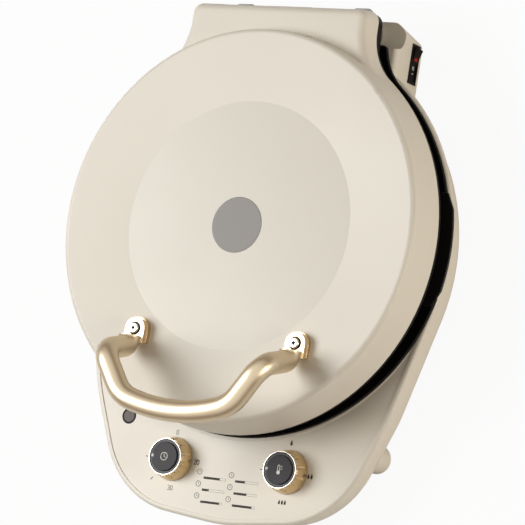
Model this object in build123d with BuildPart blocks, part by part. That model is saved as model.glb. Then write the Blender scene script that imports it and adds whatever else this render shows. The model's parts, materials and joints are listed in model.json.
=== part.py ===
from build123d import *
from math import asin, cos, degrees, radians, sin, sqrt, tan
import os

# Electric baking pan: a round cooker that heats from below and from its floating, hinged lid.
# Sizes are millimetres. Z points up from the table, Y from the control panel to the hinge, and
# X to the side with the power switch. Level pieces are drawn from the cooking pan's axis.
os.makedirs("parts", exist_ok=True)

# Base casing seen from above: the outline is drawn round these circles
bowl_r = 162.3
girth_y = -8.8
girth_step = 0.7
corner_x = 43.5
corner_y = -145.6
corner_r = 78.0
front_y = -87.6
front_r = 140.4
tray_tuck = 5.1

# Base casing heights and walls
foot_h = 14.0
base_h = 29.0
seam_drop = 3.0
wall = 2.5
deck_round = 2.5
seam_step = 0.5
belly_draft = 2.0
belly_round = 13.5
panel_sink = 0.6
panel_margin = 4.2
panel_gap = 2.2
lip_w = 2.0
lip_drop = 4.0
boss_r = 4.2
screw_r = 1.5
screw_head_r = 3.2
screw_head_h = 1.6
screw_l = 14.0
front_screw_x = 95.0
front_screw_y = -140.0
rear_screw_x = 56.0
rear_screw_y = 151.0

# Hinge housing at the back of the base
housing_x = 91.0
housing_front = 105.0
housing_back = 177.5
housing_lean = 7.0
housing_round = 8.0
housing_edge = 4.0
groove_y = 166.0
groove_r = 10.8

# Feet
pad_h = 3.0
pad_x = 70.0
pad_y = 156.0
pad_r = 9.0
peg_x = 106.5
peg_y = -161.0
peg_r = 11.3
peg_round = 3.0

# Black collar on the deck round the pan
collar_inset = 2.5
collar_w = 7.6
collar_h = 2.3
collar_edge = 0.7
collar_flare = 3.2
spigot_t = 1.8
spigot_h = 7.0
lobe_x = 82.5
lobe_y = 157.0
lobe_round = 5.0
flare_r = 50.0

# Removable lower pan
pan_play = 1.0
pan_lip_w = 2.6
pan_lean = 10.6
pan_lip_h = 2.4
pan_t = 2.7
pan_depth = 26.0
pan_round = 12.0
ear_out = 4.4
ear_tip = 32.0
ear_root = 44.0
ear_clear = 1.2
ear_t = 2.0
ear_round = 6.0

# Lid
lid_r = 160.0
lid_gap = 18.0
lid_wall = 2.5
lid_draft = 8.8
shoulder_h = 32.3
shoulder_round = 3.6
dish_share = 0.6144
dish_drop = 5.3
crown = 1.5
neck_x = 81.0
neck_y = 180.0
neck_h = 18.0
neck_corner = 10.0
neck_round = 6.0
neck_tuck = 0.3
slot_h = 14.6
slot_left = (-51.0, -6.0)
slot_right = (26.5, 72.0)
lid_boss_r = 4.0
lid_boss_inset = 7.1
lid_screw_count = 4
lid_screw_start = 45.0
lid_screw_l = 12.0

# Black frame and upper cooking plate
frame_inset = 0.8
frame_h = 4.7
frame_w = 12.5
frame_floor_t = 2.5
skirt_h = 3.4
skirt_front = 138.0
ledge_w = 2.8
plate_rise = 1.5
plate_flange_t = 1.8
clip_l = 8.5
clip_w = 12.0
clip_t = 1.2
clip_out = 2.0
clip_count = 3
clip_start = -90.0

# Heating parts
element_r = 3.4
element_ring = 95.0
tail_x = 12.0
tail_bend = 8.0
lower_tail_y = 160.4
upper_tail_y = 142.0
sheet_t = 0.8
lower_dish_rise = 1.5
lower_dish_inset = 3.0
rib_r = 100.0
upper_dish_inset = 15.5
upper_dish_h = 9.6
dish_slope = 6.0
saddle_l = 12.0
saddle_w = 9.0
sensor_r = 14.0
sensor_round = 1.0
cutout_r = 8.0
cutout_h = 7.0
block_x = 40.0
block_y = 8.0
block_h = 23.0
tail_in = 2.0

# Floating hinge
hinge_y = 170.0
hinge_drop = 4.0
knuckle_r = 12.5
knuckle_w = 10.0
left_knuckle_x = -41.5
right_knuckle_x = 64.5
web_l = 10.0
bracket_foot_t = 3.0
bracket_foot_z = 24.0
bracket_foot_x = 32.0
bracket_foot_y = 14.0
bracket_y = 164.0
bracket_screw_x = 11.0
bracket_screw_l = 7.0
pin_r = 4.0
pin_head_r = 5.5
pin_head_t = 1.5
clip_r = 6.5
clip_disc_t = 1.0
arm_t = 3.0
arm_r = 9.0
arm_gap = 0.4
tab_w = 24.0
tab_y = 165.0
tab_l = 16.0
tab_t = 3.0
tab_gap = 1.0
bar_l = 8.0
float_travel = 12.0
rod_r = 2.0
rod_pitch = 8.0
rod_head_r = 3.5
rod_head_h = 2.0
rod_root = 2.3
rod_boss_r = 3.6

# Handle
handle_x = 72.1
handle_y = -88.5
lug_r = 8.8
lug_front = 10.2
lug_t = 4.0
lug_lift = 4.0
lug_pad_rim = 0.8
lug_overlap = 1.0
tube_r = 8.7
tube_start = 6.4
grip_lift = 45.0
bend_y = -103.1
rise_x = 70.7
rise_y = -111.7
grip_corner_x = 48.8
grip_sag = 13.4
grip_reach = 158.5
bend_r = 9.8
rise_bend_r = 16.0
corner_bend_r = 27.3
bow_r = 140.0
handle_screw_r = 2.0
handle_screw_head_r = 4.2
handle_screw_head_h = 2.4
handle_screw_l = 18.0
handle_boss_r = 5.5
handle_boss_l = 8.0
cross_l = 4.4
cross_w = 0.9
cross_deep = 1.2
cross_turn = 20.0

# Knobs and the controls under them
knob_x = 51.9
knob_y = -181.8
knob_gap = 0.8
knob_h = 11.4
knob_base_r = 17.4
knob_top_r = 15.0
knob_recess_r = 9.5
knob_recess_h = 4.5
hub_depth = 5.0
flute_count = 12
flute_r = 1.6
flute_depth = 1.4
flute_lean = 20.0
flute_turn = 15.0
rim_r = 14.6
rim_w = 1.1
rim_sink = 1.0
rim_rise = 1.6
rim_round = 0.35
dial_sink = 0.4
dial_t = 2.0
cap_r = 11.6
cap_t = 1.4
cap_edge = 0.5
cap_notch_r = 2.4
shaft_r = 3.0
shaft_in = 12.0
bush_r = 4.6
bush_h = 3.4
nut_w = 12.0
nut_h = 2.2
timer_w = 42.0
timer_h = 20.0
control_r = 19.0
control_h = 16.0

# Rocker switch on the side of the hinge housing
switch_y = 149.3
switch_z = 13.9
bezel_l = 31.5
bezel_w = 12.2
bezel_t = 1.2
bezel_rim = 2.0
switch_deep = 18.0
switch_wall = 0.6
switch_back = 2.0
rocker_w = 9.0
rocker_rise = 1.2
rocker_depth = 5.0
rocker_root = 4.3
rocker_tilt = 9.5
rocker_end_gap = 0.75
pivot_in = 1.0
rocker_pin_r = 1.2

# Power inlet grommet
inlet_x = -55.0
inlet_z = 18.0
inlet_r = 5.0
inlet_flange_r = 7.5
inlet_flange_t = 2.0

# Clearances: running on a pin, seated but free, and between fixed neighbours
run = 0.05
seat = 0.3
slack = 0.2

# Radii worked out from the bowl's and the lid's, so that they keep together
collar_r = bowl_r - collar_inset
collar_bore = collar_r - collar_w
opening_r = collar_bore + spigot_t
lower_dish_r = opening_r - lower_dish_inset
pan_lip_r = collar_bore - pan_play
pan_rim_r = pan_lip_r - pan_lip_w
pan_floor_r = pan_rim_r - pan_lean
ear_reach = collar_r + ear_out
panel_r = collar_r + panel_gap
tray_r = bowl_r - tray_tuck
dish_r = dish_share * lid_r
lid_boss_ring = lid_r - lid_boss_inset
frame_bore = lid_r - frame_w
clip_ring = frame_bore + clip_out
upper_dish_r = frame_bore - upper_dish_inset

# Levels and places worked out from the sizes above
deck_z = foot_h + base_h
belly_top_z = foot_h + wall
seam_z = deck_z - seam_drop
under_deck_z = deck_z - wall
panel_z = deck_z - panel_sink
spigot_z = deck_z - spigot_h
rim_z = deck_z + lid_gap
frame_z = rim_z - frame_h
skirt_z = frame_z - skirt_h
ledge_z = rim_z - plate_flange_t
plate_z = frame_z + plate_rise
hinge_z = rim_z - hinge_drop
shoulder_r = lid_r - shoulder_h * tan(radians(lid_draft))
shoulder_z = rim_z + shoulder_h
dish_z = shoulder_z - dish_drop
neck_top_z = rim_z + neck_h
ceiling_z = neck_top_z - lid_wall
tab_z = ceiling_z - tab_gap - tab_t
rod_head_z = tab_z - seat - float_travel - rod_head_h
pan_top_z = frame_z - seat
pan_floor_z = pan_top_z - pan_depth
pan_under_z = pan_floor_z - pan_t
lower_dish_z = belly_top_z + lower_dish_rise
lower_element_z = pan_under_z - seat - element_r
upper_element_z = rim_z + sheet_t + seat + element_r
housing_floor_z = pad_h + wall
bracket_top_z = bracket_foot_z + bracket_foot_t
lug_share = (sqrt(handle_x**2 + handle_y**2) - dish_r) / (shoulder_r - dish_r)
lug_z = dish_z + dish_drop * lug_share + lug_lift
lug_top_z = lug_z + lug_t
knob_z = panel_z + knob_gap
knob_top_z = knob_z + knob_h
dial_r = rim_r - rim_w
dial_z = knob_top_z + rim_rise - dial_sink - dial_t
shaft_top_z = knob_z + knob_recess_h + hub_depth
left_arm_x = left_knuckle_x + knuckle_w / 2 + arm_gap
right_arm_x = right_knuckle_x - knuckle_w / 2 - arm_gap - arm_t
arm_xs = (left_arm_x, right_arm_x)
tab_xs = (left_arm_x + arm_t + tab_w / 2, right_arm_x - tab_w / 2)
slot_front = min(tab_y - tab_l / 2, hinge_y - knuckle_r) - 2 * seat

# The origin is under the middle of the cooker, so the pan's axis stands a little behind it
pan_y = (front_r - front_y - hinge_y - knuckle_r) / 2
pan_axis = Axis((0, pan_y, 0), (0, 0, 1))


def level(z):
    """Level plane at height z, centred on the pan's axis."""
    return Plane(origin=(0, pan_y, z))


def section(x=0, y=0):
    """Upright plane across the cooker: its own X to the right, and its own Y straight up."""
    return Plane(origin=(x, pan_y + y, 0), x_dir=(1, 0, 0), z_dir=(0, -1, 0))


def flank(x=0):
    """Upright plane along the cooker: its own X toward the hinge, and its own Y straight up."""
    return Plane(origin=(x, pan_y, 0), x_dir=(0, 1, 0), z_dir=(1, 0, 0))


def save(piece, name):
    """Label a finished piece and write its file."""
    piece.part.label = name
    export_step(piece.part, f"parts/{name}.step")


def housing_back_at(z):
    """How far back the housing's leaning rear wall reaches at height z."""
    return housing_back - housing_lean * (deck_z - z) / (deck_z - pad_h)


def pan_wall_at(z):
    """Outer radius of the pan's leaning wall at height z."""
    share = (z - pan_under_z) / (pan_top_z - pan_lip_h - pan_under_z)
    return pan_floor_r + pan_t + share * (pan_rim_r - pan_floor_r - pan_t)


def casing(z, r, inset=0.0):
    """Outline of the base at height z round a bowl of radius r, moved inward by inset."""
    with BuildSketch(level(z)) as outline:
        with BuildLine():
            CenterArc((0, 0), r - inset, 0, 360)
            CenterArc((0, girth_y), bowl_r - girth_step - inset, 0, 360)
            CenterArc((0, front_y), front_r - inset, 0, 360)
            for side in (-1, 1):
                CenterArc((side * corner_x, corner_y), corner_r - inset, 0, 360)
        make_hull()
    return outline.sketch


def keyhole(z, r, half_w, back, corner, inset=0.0, widen=0.0):
    """Circle with a neck toward the hinge, whose roots flare, moved inward by inset. Where widen
    is given, the front half is an ellipse that is so much wider on each side."""
    with BuildSketch(level(z)) as outline:
        Circle(r - inset)
        if widen:
            with Locations((0, -r)):
                Rectangle(2 * r, 2 * r, mode=Mode.SUBTRACT)
            with BuildLine():
                EllipticalCenterArc((0, 0), r + widen, r, start_angle=180, arc_size=180)
                Line((-r - widen, 0), (r + widen, 0))
            make_face()
        with Locations((0, back)):
            Rectangle(2 * (half_w - inset), 2 * back)
        fillet(outline.vertices().group_by(Axis.Y)[-2], flare_r + inset)
        with Locations((0, 2 * back - inset)):
            Rectangle(2 * r, 2 * back, mode=Mode.SUBTRACT)
        fillet(outline.vertices().group_by(Axis.Y)[-1], corner - inset)
    return outline.sketch


def ears(z, grow=0.0):
    """The pan's two side ears, grown all round by grow."""
    with BuildSketch(level(z)) as outline:
        tip_x = sqrt(ear_reach**2 - ear_tip**2)
        root_x = sqrt((collar_r + ear_clear) ** 2 - ear_root**2)
        with BuildLine():
            Polyline(
                (0, -ear_root),
                (root_x, -ear_root),
                (tip_x, -ear_tip),
                (ear_reach, -ear_tip),
                (ear_reach, ear_tip),
                (tip_x, ear_tip),
                (root_x, ear_root),
                (0, ear_root),
                close=True,
            )
        make_face()
        Circle(ear_reach, mode=Mode.INTERSECT)
        fillet(outline.vertices().group_by(Axis.X)[-1], ear_round)
        mirror(about=Plane.YZ)
        if grow:
            offset(amount=grow)
        Circle(pan_wall_at(z) - pan_t / 2, mode=Mode.SUBTRACT)
    return outline.sketch


def ring(z, outer_r, inner_r):
    """Flat ring about the pan's axis."""
    with BuildSketch(level(z)) as flat:
        Circle(outer_r)
        Circle(inner_r, mode=Mode.SUBTRACT)
    return flat.sketch


def discs(z, r, spots=((0, 0),)):
    """Discs of radius r at the given places on one level."""
    with BuildSketch(level(z)) as flat:
        with Locations(*spots):
            Circle(r)
    return flat.sketch


def slab(z, low, high):
    """Rectangle between two corners, on one level."""
    with BuildSketch(level(z)) as flat:
        with Locations(((low[0] + high[0]) / 2, (low[1] + high[1]) / 2)):
            Rectangle(high[0] - low[0], high[1] - low[1])
    return flat.sketch


def side_face(x, points):
    """Face through points (y, z) on the upright plane at x."""
    with BuildSketch(flank(x)) as face:
        with BuildLine():
            Polyline(*points, close=True)
        make_face()
    return face.sketch


def side_disc(x, r, y, z):
    """Disc about a cross axis, on the upright plane at x."""
    with BuildSketch(flank(x)) as face:
        with Locations((y, z)):
            Circle(r)
    return face.sketch


def round_face(points):
    """Face through points (radius, z), to be turned about the pan's axis."""
    with BuildSketch(section()) as face:
        with BuildLine():
            Polyline(*points, close=True)
        make_face()
    return face.sketch


def ring_spots(r, count, start):
    """Places spread evenly round the pan's axis, the first at the start angle in degrees."""
    turns = [radians(start + step * 360 / count) for step in range(count)]
    return [(r * cos(turn), r * sin(turn)) for turn in turns]


# Places of repeated fasteners
lid_screw_spots = ring_spots(lid_boss_ring, lid_screw_count, lid_screw_start)
front_spots = ((-front_screw_x, front_screw_y), (front_screw_x, front_screw_y))
rear_spots = ((-rear_screw_x, rear_screw_y), (rear_screw_x, rear_screw_y))
handle_spots = ((-handle_x, handle_y), (handle_x, handle_y))
knob_spots = ((-knob_x, knob_y), (knob_x, knob_y))
rod_spots = [(x, tab_y + side * rod_pitch / 2) for x in tab_xs for side in (-1, 1)]

# Outer body of the tray under the deck, and its hollow
with BuildPart() as belly:
    extrude(casing(seam_z, tray_r, seam_step), amount=foot_h - seam_z, taper=belly_draft)
    fillet(belly.faces().sort_by(Axis.Z)[0].edges(), belly_round)

with BuildPart() as belly_room:
    hollow = casing(seam_z, tray_r, seam_step + wall)
    extrude(hollow, amount=belly_top_z - seam_z)
    fillet(belly_room.faces().sort_by(Axis.Z)[0].edges(), belly_round - wall)

# Outer body of the hinge housing, whose rear wall leans
with BuildPart() as housing:
    housing_points = (
        (housing_front, pad_h),
        (housing_back_at(pad_h), pad_h),
        (housing_back, deck_z),
        (housing_front, deck_z),
    )
    extrude(side_face(0, housing_points), amount=housing_x, both=True)
    rear = housing.faces().sort_by(Axis.Y)[-1]
    fillet(rear.edges().filter_by(Axis.X, reverse=True), housing_round)
    top = housing.faces().sort_by(Axis.Z)[-1]
    fillet(top.edges().sort_by(Axis.Y)[1:], housing_edge)

# Hollow of the hinge housing, which leaves the wall of the hinge well standing
with BuildPart() as housing_room:
    room_points = (
        (housing_front - wall, pad_h),
        (housing_back_at(pad_h) - wall, pad_h),
        (housing_back_at(under_deck_z) - wall, under_deck_z),
        (housing_front - wall, under_deck_z),
    )
    extrude(side_face(0, room_points), amount=housing_x - wall, both=True)
    rear = housing_room.faces().sort_by(Axis.Y)[-1]
    fillet(rear.edges().filter_by(Axis.X, reverse=True), housing_round - wall)
    well_wall = side_disc(0, groove_r + wall, groove_y, deck_z)
    extrude(well_wall, amount=housing_x, both=True, mode=Mode.SUBTRACT)

switch_pocket_l = bezel_l - 2 * bezel_rim
switch_pocket_w = rocker_w + 2 * seat
switch_body_l = switch_pocket_l + 2 * switch_wall
switch_body_w = switch_pocket_w + 2 * switch_wall
switch_plane = Plane(
    origin=(housing_x, pan_y + switch_y, switch_z), x_dir=(0, 1, 0), z_dir=(1, 0, 0)
)
inlet_plane = Plane(
    origin=(inlet_x, pan_y + housing_back_at(inlet_z), inlet_z),
    x_dir=(-1, 0, 0),
    z_dir=(0, deck_z - pad_h, -housing_lean),
)

# The control panel's shallow recess in front of the round opening
with BuildPart() as panel:
    extrude(casing(panel_z, bowl_r, panel_margin), amount=panel_sink)
    extrude(discs(panel_z, panel_r), amount=panel_sink, mode=Mode.SUBTRACT)

# The lip under the deck that centres the tray
lip_inset = seam_step + wall + slack
lip_z = seam_z - lip_drop
with BuildPart() as lip:
    lip_h = under_deck_z - lip_z
    extrude(casing(lip_z, tray_r, lip_inset), amount=lip_h)
    extrude(casing(lip_z, tray_r, lip_inset + lip_w), amount=lip_h, mode=Mode.SUBTRACT)

# The deck with its short rim and the hinge housing
with BuildPart() as base_shell:
    extrude(casing(seam_z, bowl_r), amount=deck_z - seam_z)
    fillet(base_shell.faces().sort_by(Axis.Z)[-1].edges(), deck_round)
    extrude(casing(seam_z, tray_r, wall), amount=under_deck_z - seam_z, mode=Mode.SUBTRACT)
    add(panel.part, mode=Mode.SUBTRACT)
    add(lip.part)
    extrude(discs(belly_top_z, boss_r, front_spots), amount=under_deck_z - belly_top_z)
    add(housing.part)
    add(housing_room.part, mode=Mode.SUBTRACT)
    extrude(discs(housing_floor_z, boss_r, rear_spots), amount=under_deck_z - housing_floor_z)
    for knuckle_x in (left_knuckle_x, right_knuckle_x):
        lugs = [(knuckle_x + side * bracket_screw_x, bracket_y) for side in (-1, 1)]
        extrude(discs(bracket_top_z, boss_r, lugs), amount=deck_z - groove_r - bracket_top_z)
        thread_l = bracket_screw_l - bracket_foot_t
        extrude(discs(bracket_top_z, screw_r, lugs), amount=thread_l, mode=Mode.SUBTRACT)
    groove = side_disc(0, groove_r, groove_y, deck_z)
    extrude(groove, amount=2 * housing_x, both=True, mode=Mode.SUBTRACT)
    extrude(discs(belly_top_z, opening_r), amount=base_h, mode=Mode.SUBTRACT)
    for knuckle_x in (left_knuckle_x, right_knuckle_x):
        low = (knuckle_x - knuckle_w / 2 - seat, groove_y - web_l / 2 - seat)
        high = (knuckle_x + knuckle_w / 2 + seat, groove_y + web_l / 2 + seat)
        extrude(slab(bracket_top_z, low, high), amount=deck_z - bracket_top_z, mode=Mode.SUBTRACT)
    extrude(discs(belly_top_z, screw_r, front_spots), amount=screw_l, mode=Mode.SUBTRACT)
    extrude(discs(housing_floor_z, screw_r, rear_spots), amount=screw_l, mode=Mode.SUBTRACT)
    extrude(discs(under_deck_z, bush_r, knob_spots), amount=wall, mode=Mode.SUBTRACT)
    with BuildSketch(switch_plane):
        Rectangle(switch_body_l + 2 * slack, switch_body_w + 2 * slack)
    extrude(amount=-wall, mode=Mode.SUBTRACT)
    with BuildSketch(inlet_plane):
        Circle(inlet_r)
    extrude(amount=-2 * wall, mode=Mode.SUBTRACT)
save(base_shell, "base_shell")

# The tray that closes the base from below, stepped down under the hinge housing
with BuildPart() as base_cover:
    add(belly.part)
    add(belly_room.part, mode=Mode.SUBTRACT)
    step_y = housing_front - seat
    side_gap = housing_x + seat
    extrude(slab(pad_h, (-side_gap, step_y), (side_gap, bowl_r)), amount=seam_z, mode=Mode.SUBTRACT)
    extrude(slab(pad_h, (-housing_x, step_y - wall), (housing_x, step_y)), amount=belly_top_z - pad_h)
    floor_x = housing_x - wall - seat
    floor_y = housing_back_at(pad_h) - wall - seat
    with BuildSketch(level(pad_h)) as floor:
        with Locations((0, (step_y - wall + floor_y) / 2)):
            Rectangle(2 * floor_x, floor_y - step_y + wall)
        fillet(floor.vertices().group_by(Axis.Y)[-1], housing_round - wall)
    extrude(amount=wall)
    extrude(ring(belly_top_z, rib_r + wall, rib_r), amount=lower_dish_rise)
    for spots, under_z in ((front_spots, foot_h), (rear_spots, pad_h)):
        extrude(discs(under_z, screw_r + slack, spots), amount=wall, mode=Mode.SUBTRACT)
        head_room = discs(under_z, screw_head_r + slack, spots)
        extrude(head_room, amount=screw_head_h, mode=Mode.SUBTRACT)
save(base_cover, "base_cover")

# Two screws hold the tray at the front, and two at the housing
with BuildPart() as base_screws:
    for spots, under_z in ((front_spots, foot_h), (rear_spots, pad_h)):
        extrude(discs(under_z, screw_head_r, spots), amount=screw_head_h)
        extrude(discs(under_z, screw_r, spots), amount=wall + screw_l - seat)
save(base_screws, "base_screws")

# Peg feet at the front, shaped to the tray's rounded edge
for name, side in (("left", -1), ("right", 1)):
    with BuildPart() as peg:
        extrude(discs(0, peg_r, ((side * peg_x, peg_y),)), amount=foot_h + belly_round)
        fillet(peg.faces().sort_by(Axis.Z)[0].edges(), peg_round)
        add(belly.part, mode=Mode.SUBTRACT)
    save(peg, f"{name}_front_foot")

# Rubber pads under the hinge housing
for name, side in (("left", -1), ("right", 1)):
    with BuildPart() as pad:
        extrude(discs(0, pad_r, ((side * pad_x, pad_y),)), amount=pad_h)
    save(pad, f"{name}_rear_pad")

# Black collar: a flange with a lobe toward the hinge, and a spigot down into the deck's opening.
# Its front half widens toward the pan's ears, and the step that this makes lies under them.
with BuildPart() as base_collar:
    flange = keyhole(deck_z, collar_r, lobe_x, lobe_y, lobe_round, widen=collar_flare)
    extrude(flange, amount=collar_h)
    upper_edges = base_collar.faces().sort_by(Axis.Z)[-1].edges()
    chamfer(upper_edges.filter_by(lambda edge: edge.length > 2 * collar_flare), collar_edge)
    extrude(discs(deck_z, collar_bore), amount=collar_h, mode=Mode.SUBTRACT)
    extrude(ring(spigot_z, opening_r - slack, collar_bore), amount=spigot_h)
    extrude(ears(deck_z, seat), amount=collar_h, mode=Mode.SUBTRACT)
save(base_collar, "base_collar")

# The removable cooking pan, lifted by two side ears
with BuildPart() as lower_pan:
    pan_points = (
        (0, pan_under_z),
        (pan_floor_r + pan_t, pan_under_z),
        (pan_rim_r, pan_top_z - pan_lip_h),
        (pan_lip_r, pan_top_z - pan_lip_h),
        (pan_lip_r, pan_top_z),
        (0, pan_top_z),
    )
    revolve(round_face(pan_points), axis=pan_axis)
    fillet(lower_pan.faces().sort_by(Axis.Z)[0].edges(), pan_round)
    room_points = (
        (0, pan_floor_z),
        (pan_floor_r, pan_floor_z),
        (pan_rim_r - pan_t, pan_top_z),
        (0, pan_top_z),
    )
    with BuildPart(mode=Mode.PRIVATE) as pan_room:
        revolve(round_face(room_points), axis=pan_axis)
        fillet(pan_room.faces().sort_by(Axis.Z)[0].edges(), pan_round - pan_t)
    add(pan_room.part, mode=Mode.SUBTRACT)
    extrude(ears(deck_z + seat), amount=ear_t)
save(lower_pan, "lower_pan")


def heater(z, tail_y):
    """Round heating element with two tails that leave it toward the hinge."""
    gap = degrees(asin(tail_x / element_ring))
    tail_root = sqrt(element_ring**2 - tail_x**2)
    with BuildPart() as element:
        with BuildLine(level(z)) as path:
            CenterArc((0, 0), element_ring, 90 + gap, 360 - 2 * gap)
            Line((-tail_x, tail_root), (-tail_x, tail_y))
            Line((tail_x, tail_y), (tail_x, tail_root))
            fillet(path.vertices().group_by(Axis.Y)[-2], tail_bend)
        with BuildSketch(Plane(origin=(tail_x, pan_y + tail_y, z), z_dir=(0, -1, 0))):
            Circle(element_r)
        sweep(path=path.wires()[0])
    return element


def tail_holes(z, tail_y):
    """Cutters for the two tails of a heating element where they pass through a wall."""
    with BuildSketch(Plane(origin=(0, pan_y + tail_y, z), x_dir=(1, 0, 0), z_dir=(0, -1, 0))) as face:
        with Locations((-tail_x, 0), (tail_x, 0)):
            Circle(element_r + slack)
    return face.sketch


# Lower heat: element, clips, the dish under them, and the sensor that feels the pan
lower_element = heater(lower_element_z, lower_tail_y)
save(lower_element, "lower_element")

with BuildPart() as lower_reflector:
    dish_points = (
        (0, lower_dish_z),
        (lower_dish_r - dish_slope, lower_dish_z),
        (lower_dish_r, spigot_z - sheet_t),
        (opening_r - slack, spigot_z - sheet_t),
        (opening_r - slack, spigot_z),
        (lower_dish_r - sheet_t, spigot_z),
        (lower_dish_r - dish_slope - sheet_t, lower_dish_z + sheet_t),
        (0, lower_dish_z + sheet_t),
    )
    revolve(round_face(dish_points), axis=pan_axis)
    tail_cut = tail_holes(lower_element_z, lower_tail_y)
    extrude(tail_cut, amount=lower_tail_y - element_ring, mode=Mode.SUBTRACT)
save(lower_reflector, "lower_reflector")

with BuildPart() as lower_element_clips:
    with BuildSketch(level(lower_dish_z + sheet_t)):
        with PolarLocations(element_ring, clip_count, clip_start):
            Rectangle(saddle_w, saddle_l)
    extrude(amount=lower_element_z - lower_dish_z - sheet_t)
    with BuildSketch(section()):
        with Locations((element_ring, lower_element_z)):
            Circle(element_r + seat)
    revolve(axis=pan_axis, mode=Mode.SUBTRACT)
save(lower_element_clips, "lower_element_clips")

with BuildPart() as lower_sensor:
    sensor_h = pan_under_z - seat - lower_dish_z - sheet_t
    extrude(discs(lower_dish_z + sheet_t, sensor_r), amount=sensor_h)
    fillet(lower_sensor.faces().sort_by(Axis.Z)[-1].edges(), sensor_round)
save(lower_sensor, "lower_sensor")

with BuildPart() as terminal_block:
    block_low = (-block_x / 2, lower_tail_y - tail_in)
    extrude(slab(housing_floor_z, block_low, (block_x / 2, block_low[1] + block_y)), amount=block_h)
    tail_cut = tail_holes(lower_element_z, lower_tail_y + slack)
    extrude(tail_cut, amount=2 * tail_in, mode=Mode.SUBTRACT)
save(terminal_block, "terminal_block")

with BuildPart() as cord_inlet:
    with BuildSketch(inlet_plane):
        Circle(inlet_flange_r)
    extrude(amount=inlet_flange_t)
    fillet(cord_inlet.faces().sort_by(Axis.Y)[-1].edges(), inlet_flange_t / 2)
    with BuildSketch(inlet_plane):
        Circle(inlet_r)
    extrude(amount=-2 * wall)
save(cord_inlet, "cord_inlet")

# Controls under the deck: each has a threaded bush that a nut clamps to the panel
with BuildPart() as timer_body:
    timer_low = (-knob_x - timer_w / 2, knob_y - timer_w / 2)
    timer_high = (-knob_x + timer_w / 2, knob_y + timer_w / 2)
    extrude(slab(under_deck_z, timer_low, timer_high), amount=-timer_h)
    extrude(discs(under_deck_z, bush_r, knob_spots[:1]), amount=wall - panel_sink + bush_h)
    shaft_hole_z = under_deck_z - shaft_in
    extrude(discs(shaft_hole_z, shaft_r + run, knob_spots[:1]), amount=base_h, mode=Mode.SUBTRACT)
save(timer_body, "timer_body")

with BuildPart() as thermostat_body:
    extrude(discs(under_deck_z, control_r, knob_spots[1:]), amount=-control_h)
    extrude(discs(under_deck_z, bush_r, knob_spots[1:]), amount=wall - panel_sink + bush_h)
    extrude(discs(shaft_hole_z, shaft_r + run, knob_spots[1:]), amount=base_h, mode=Mode.SUBTRACT)
save(thermostat_body, "thermostat_body")

with BuildPart() as control_nuts:
    with BuildSketch(level(panel_z)):
        with Locations(*knob_spots):
            RegularPolygon(nut_w / 2, 6, major_radius=False)
            Circle(bush_r, mode=Mode.SUBTRACT)
    extrude(amount=nut_h)
save(control_nuts, "control_nuts")


def knob_section(spot):
    """Upright plane across one knob's axis."""
    return section(spot[0], spot[1])


# Knobs: a fluted skirt, a polished rim, a dark dial and a cap, all turning on their shaft
for name, shaft_name, spot in (
    ("time_knob", "timer_shaft", knob_spots[0]),
    ("temperature_knob", "thermostat_shaft", knob_spots[1]),
):
    knob_axis = Axis((spot[0], pan_y + spot[1], 0), (0, 0, 1))
    with BuildPart() as skirt:
        with BuildSketch(knob_section(spot)):
            with BuildLine():
                Polyline(
                    (0, knob_z),
                    (knob_base_r, knob_z),
                    (knob_top_r, knob_top_z),
                    (0, knob_top_z),
                    close=True,
                )
            make_face()
        revolve(axis=knob_axis)
        extrude(discs(knob_z, knob_recess_r, (spot,)), amount=knob_recess_h, mode=Mode.SUBTRACT)
        extrude(discs(knob_z, shaft_r, (spot,)), amount=shaft_top_z - knob_z, mode=Mode.SUBTRACT)
        extrude(discs(dial_z, dial_r, (spot,)), amount=dial_t, mode=Mode.SUBTRACT)
        extrude(discs(knob_top_z - rim_sink, rim_r, (spot,)), amount=rim_sink, mode=Mode.SUBTRACT)
        with Locations((spot[0], pan_y + spot[1], knob_top_z)):
            with PolarLocations(knob_top_r + flute_r - flute_depth, flute_count, flute_turn):
                Cylinder(flute_r, 2 * knob_h, rotation=(0, -flute_lean, 0), mode=Mode.SUBTRACT)
    save(skirt, f"{name}_skirt")
    with BuildPart() as rim:
        rim_h = rim_sink + rim_rise
        extrude(discs(knob_top_z - rim_sink, rim_r, (spot,)), amount=rim_h)
        extrude(discs(knob_top_z - rim_sink, dial_r, (spot,)), amount=rim_h, mode=Mode.SUBTRACT)
        fillet(rim.faces().sort_by(Axis.Z)[-1].edges(), rim_round)
    save(rim, f"{name}_rim")
    with BuildPart() as dial:
        extrude(discs(dial_z, dial_r, (spot,)), amount=dial_t)
    save(dial, f"{name}_dial")
    with BuildPart() as cap:
        extrude(discs(dial_z + dial_t, cap_r, (spot,)), amount=cap_t)
        chamfer(cap.faces().sort_by(Axis.Z)[-1].edges(), cap_edge)
        notch = discs(dial_z + dial_t, cap_notch_r, ((spot[0] - cap_r, spot[1]),))
        extrude(notch, amount=cap_t, mode=Mode.SUBTRACT)
    save(cap, f"{name}_cap")
    with BuildPart() as shaft:
        extrude(discs(shaft_hole_z + seat, shaft_r, (spot,)), amount=shaft_top_z - shaft_hole_z - seat)
    save(shaft, shaft_name)

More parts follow.
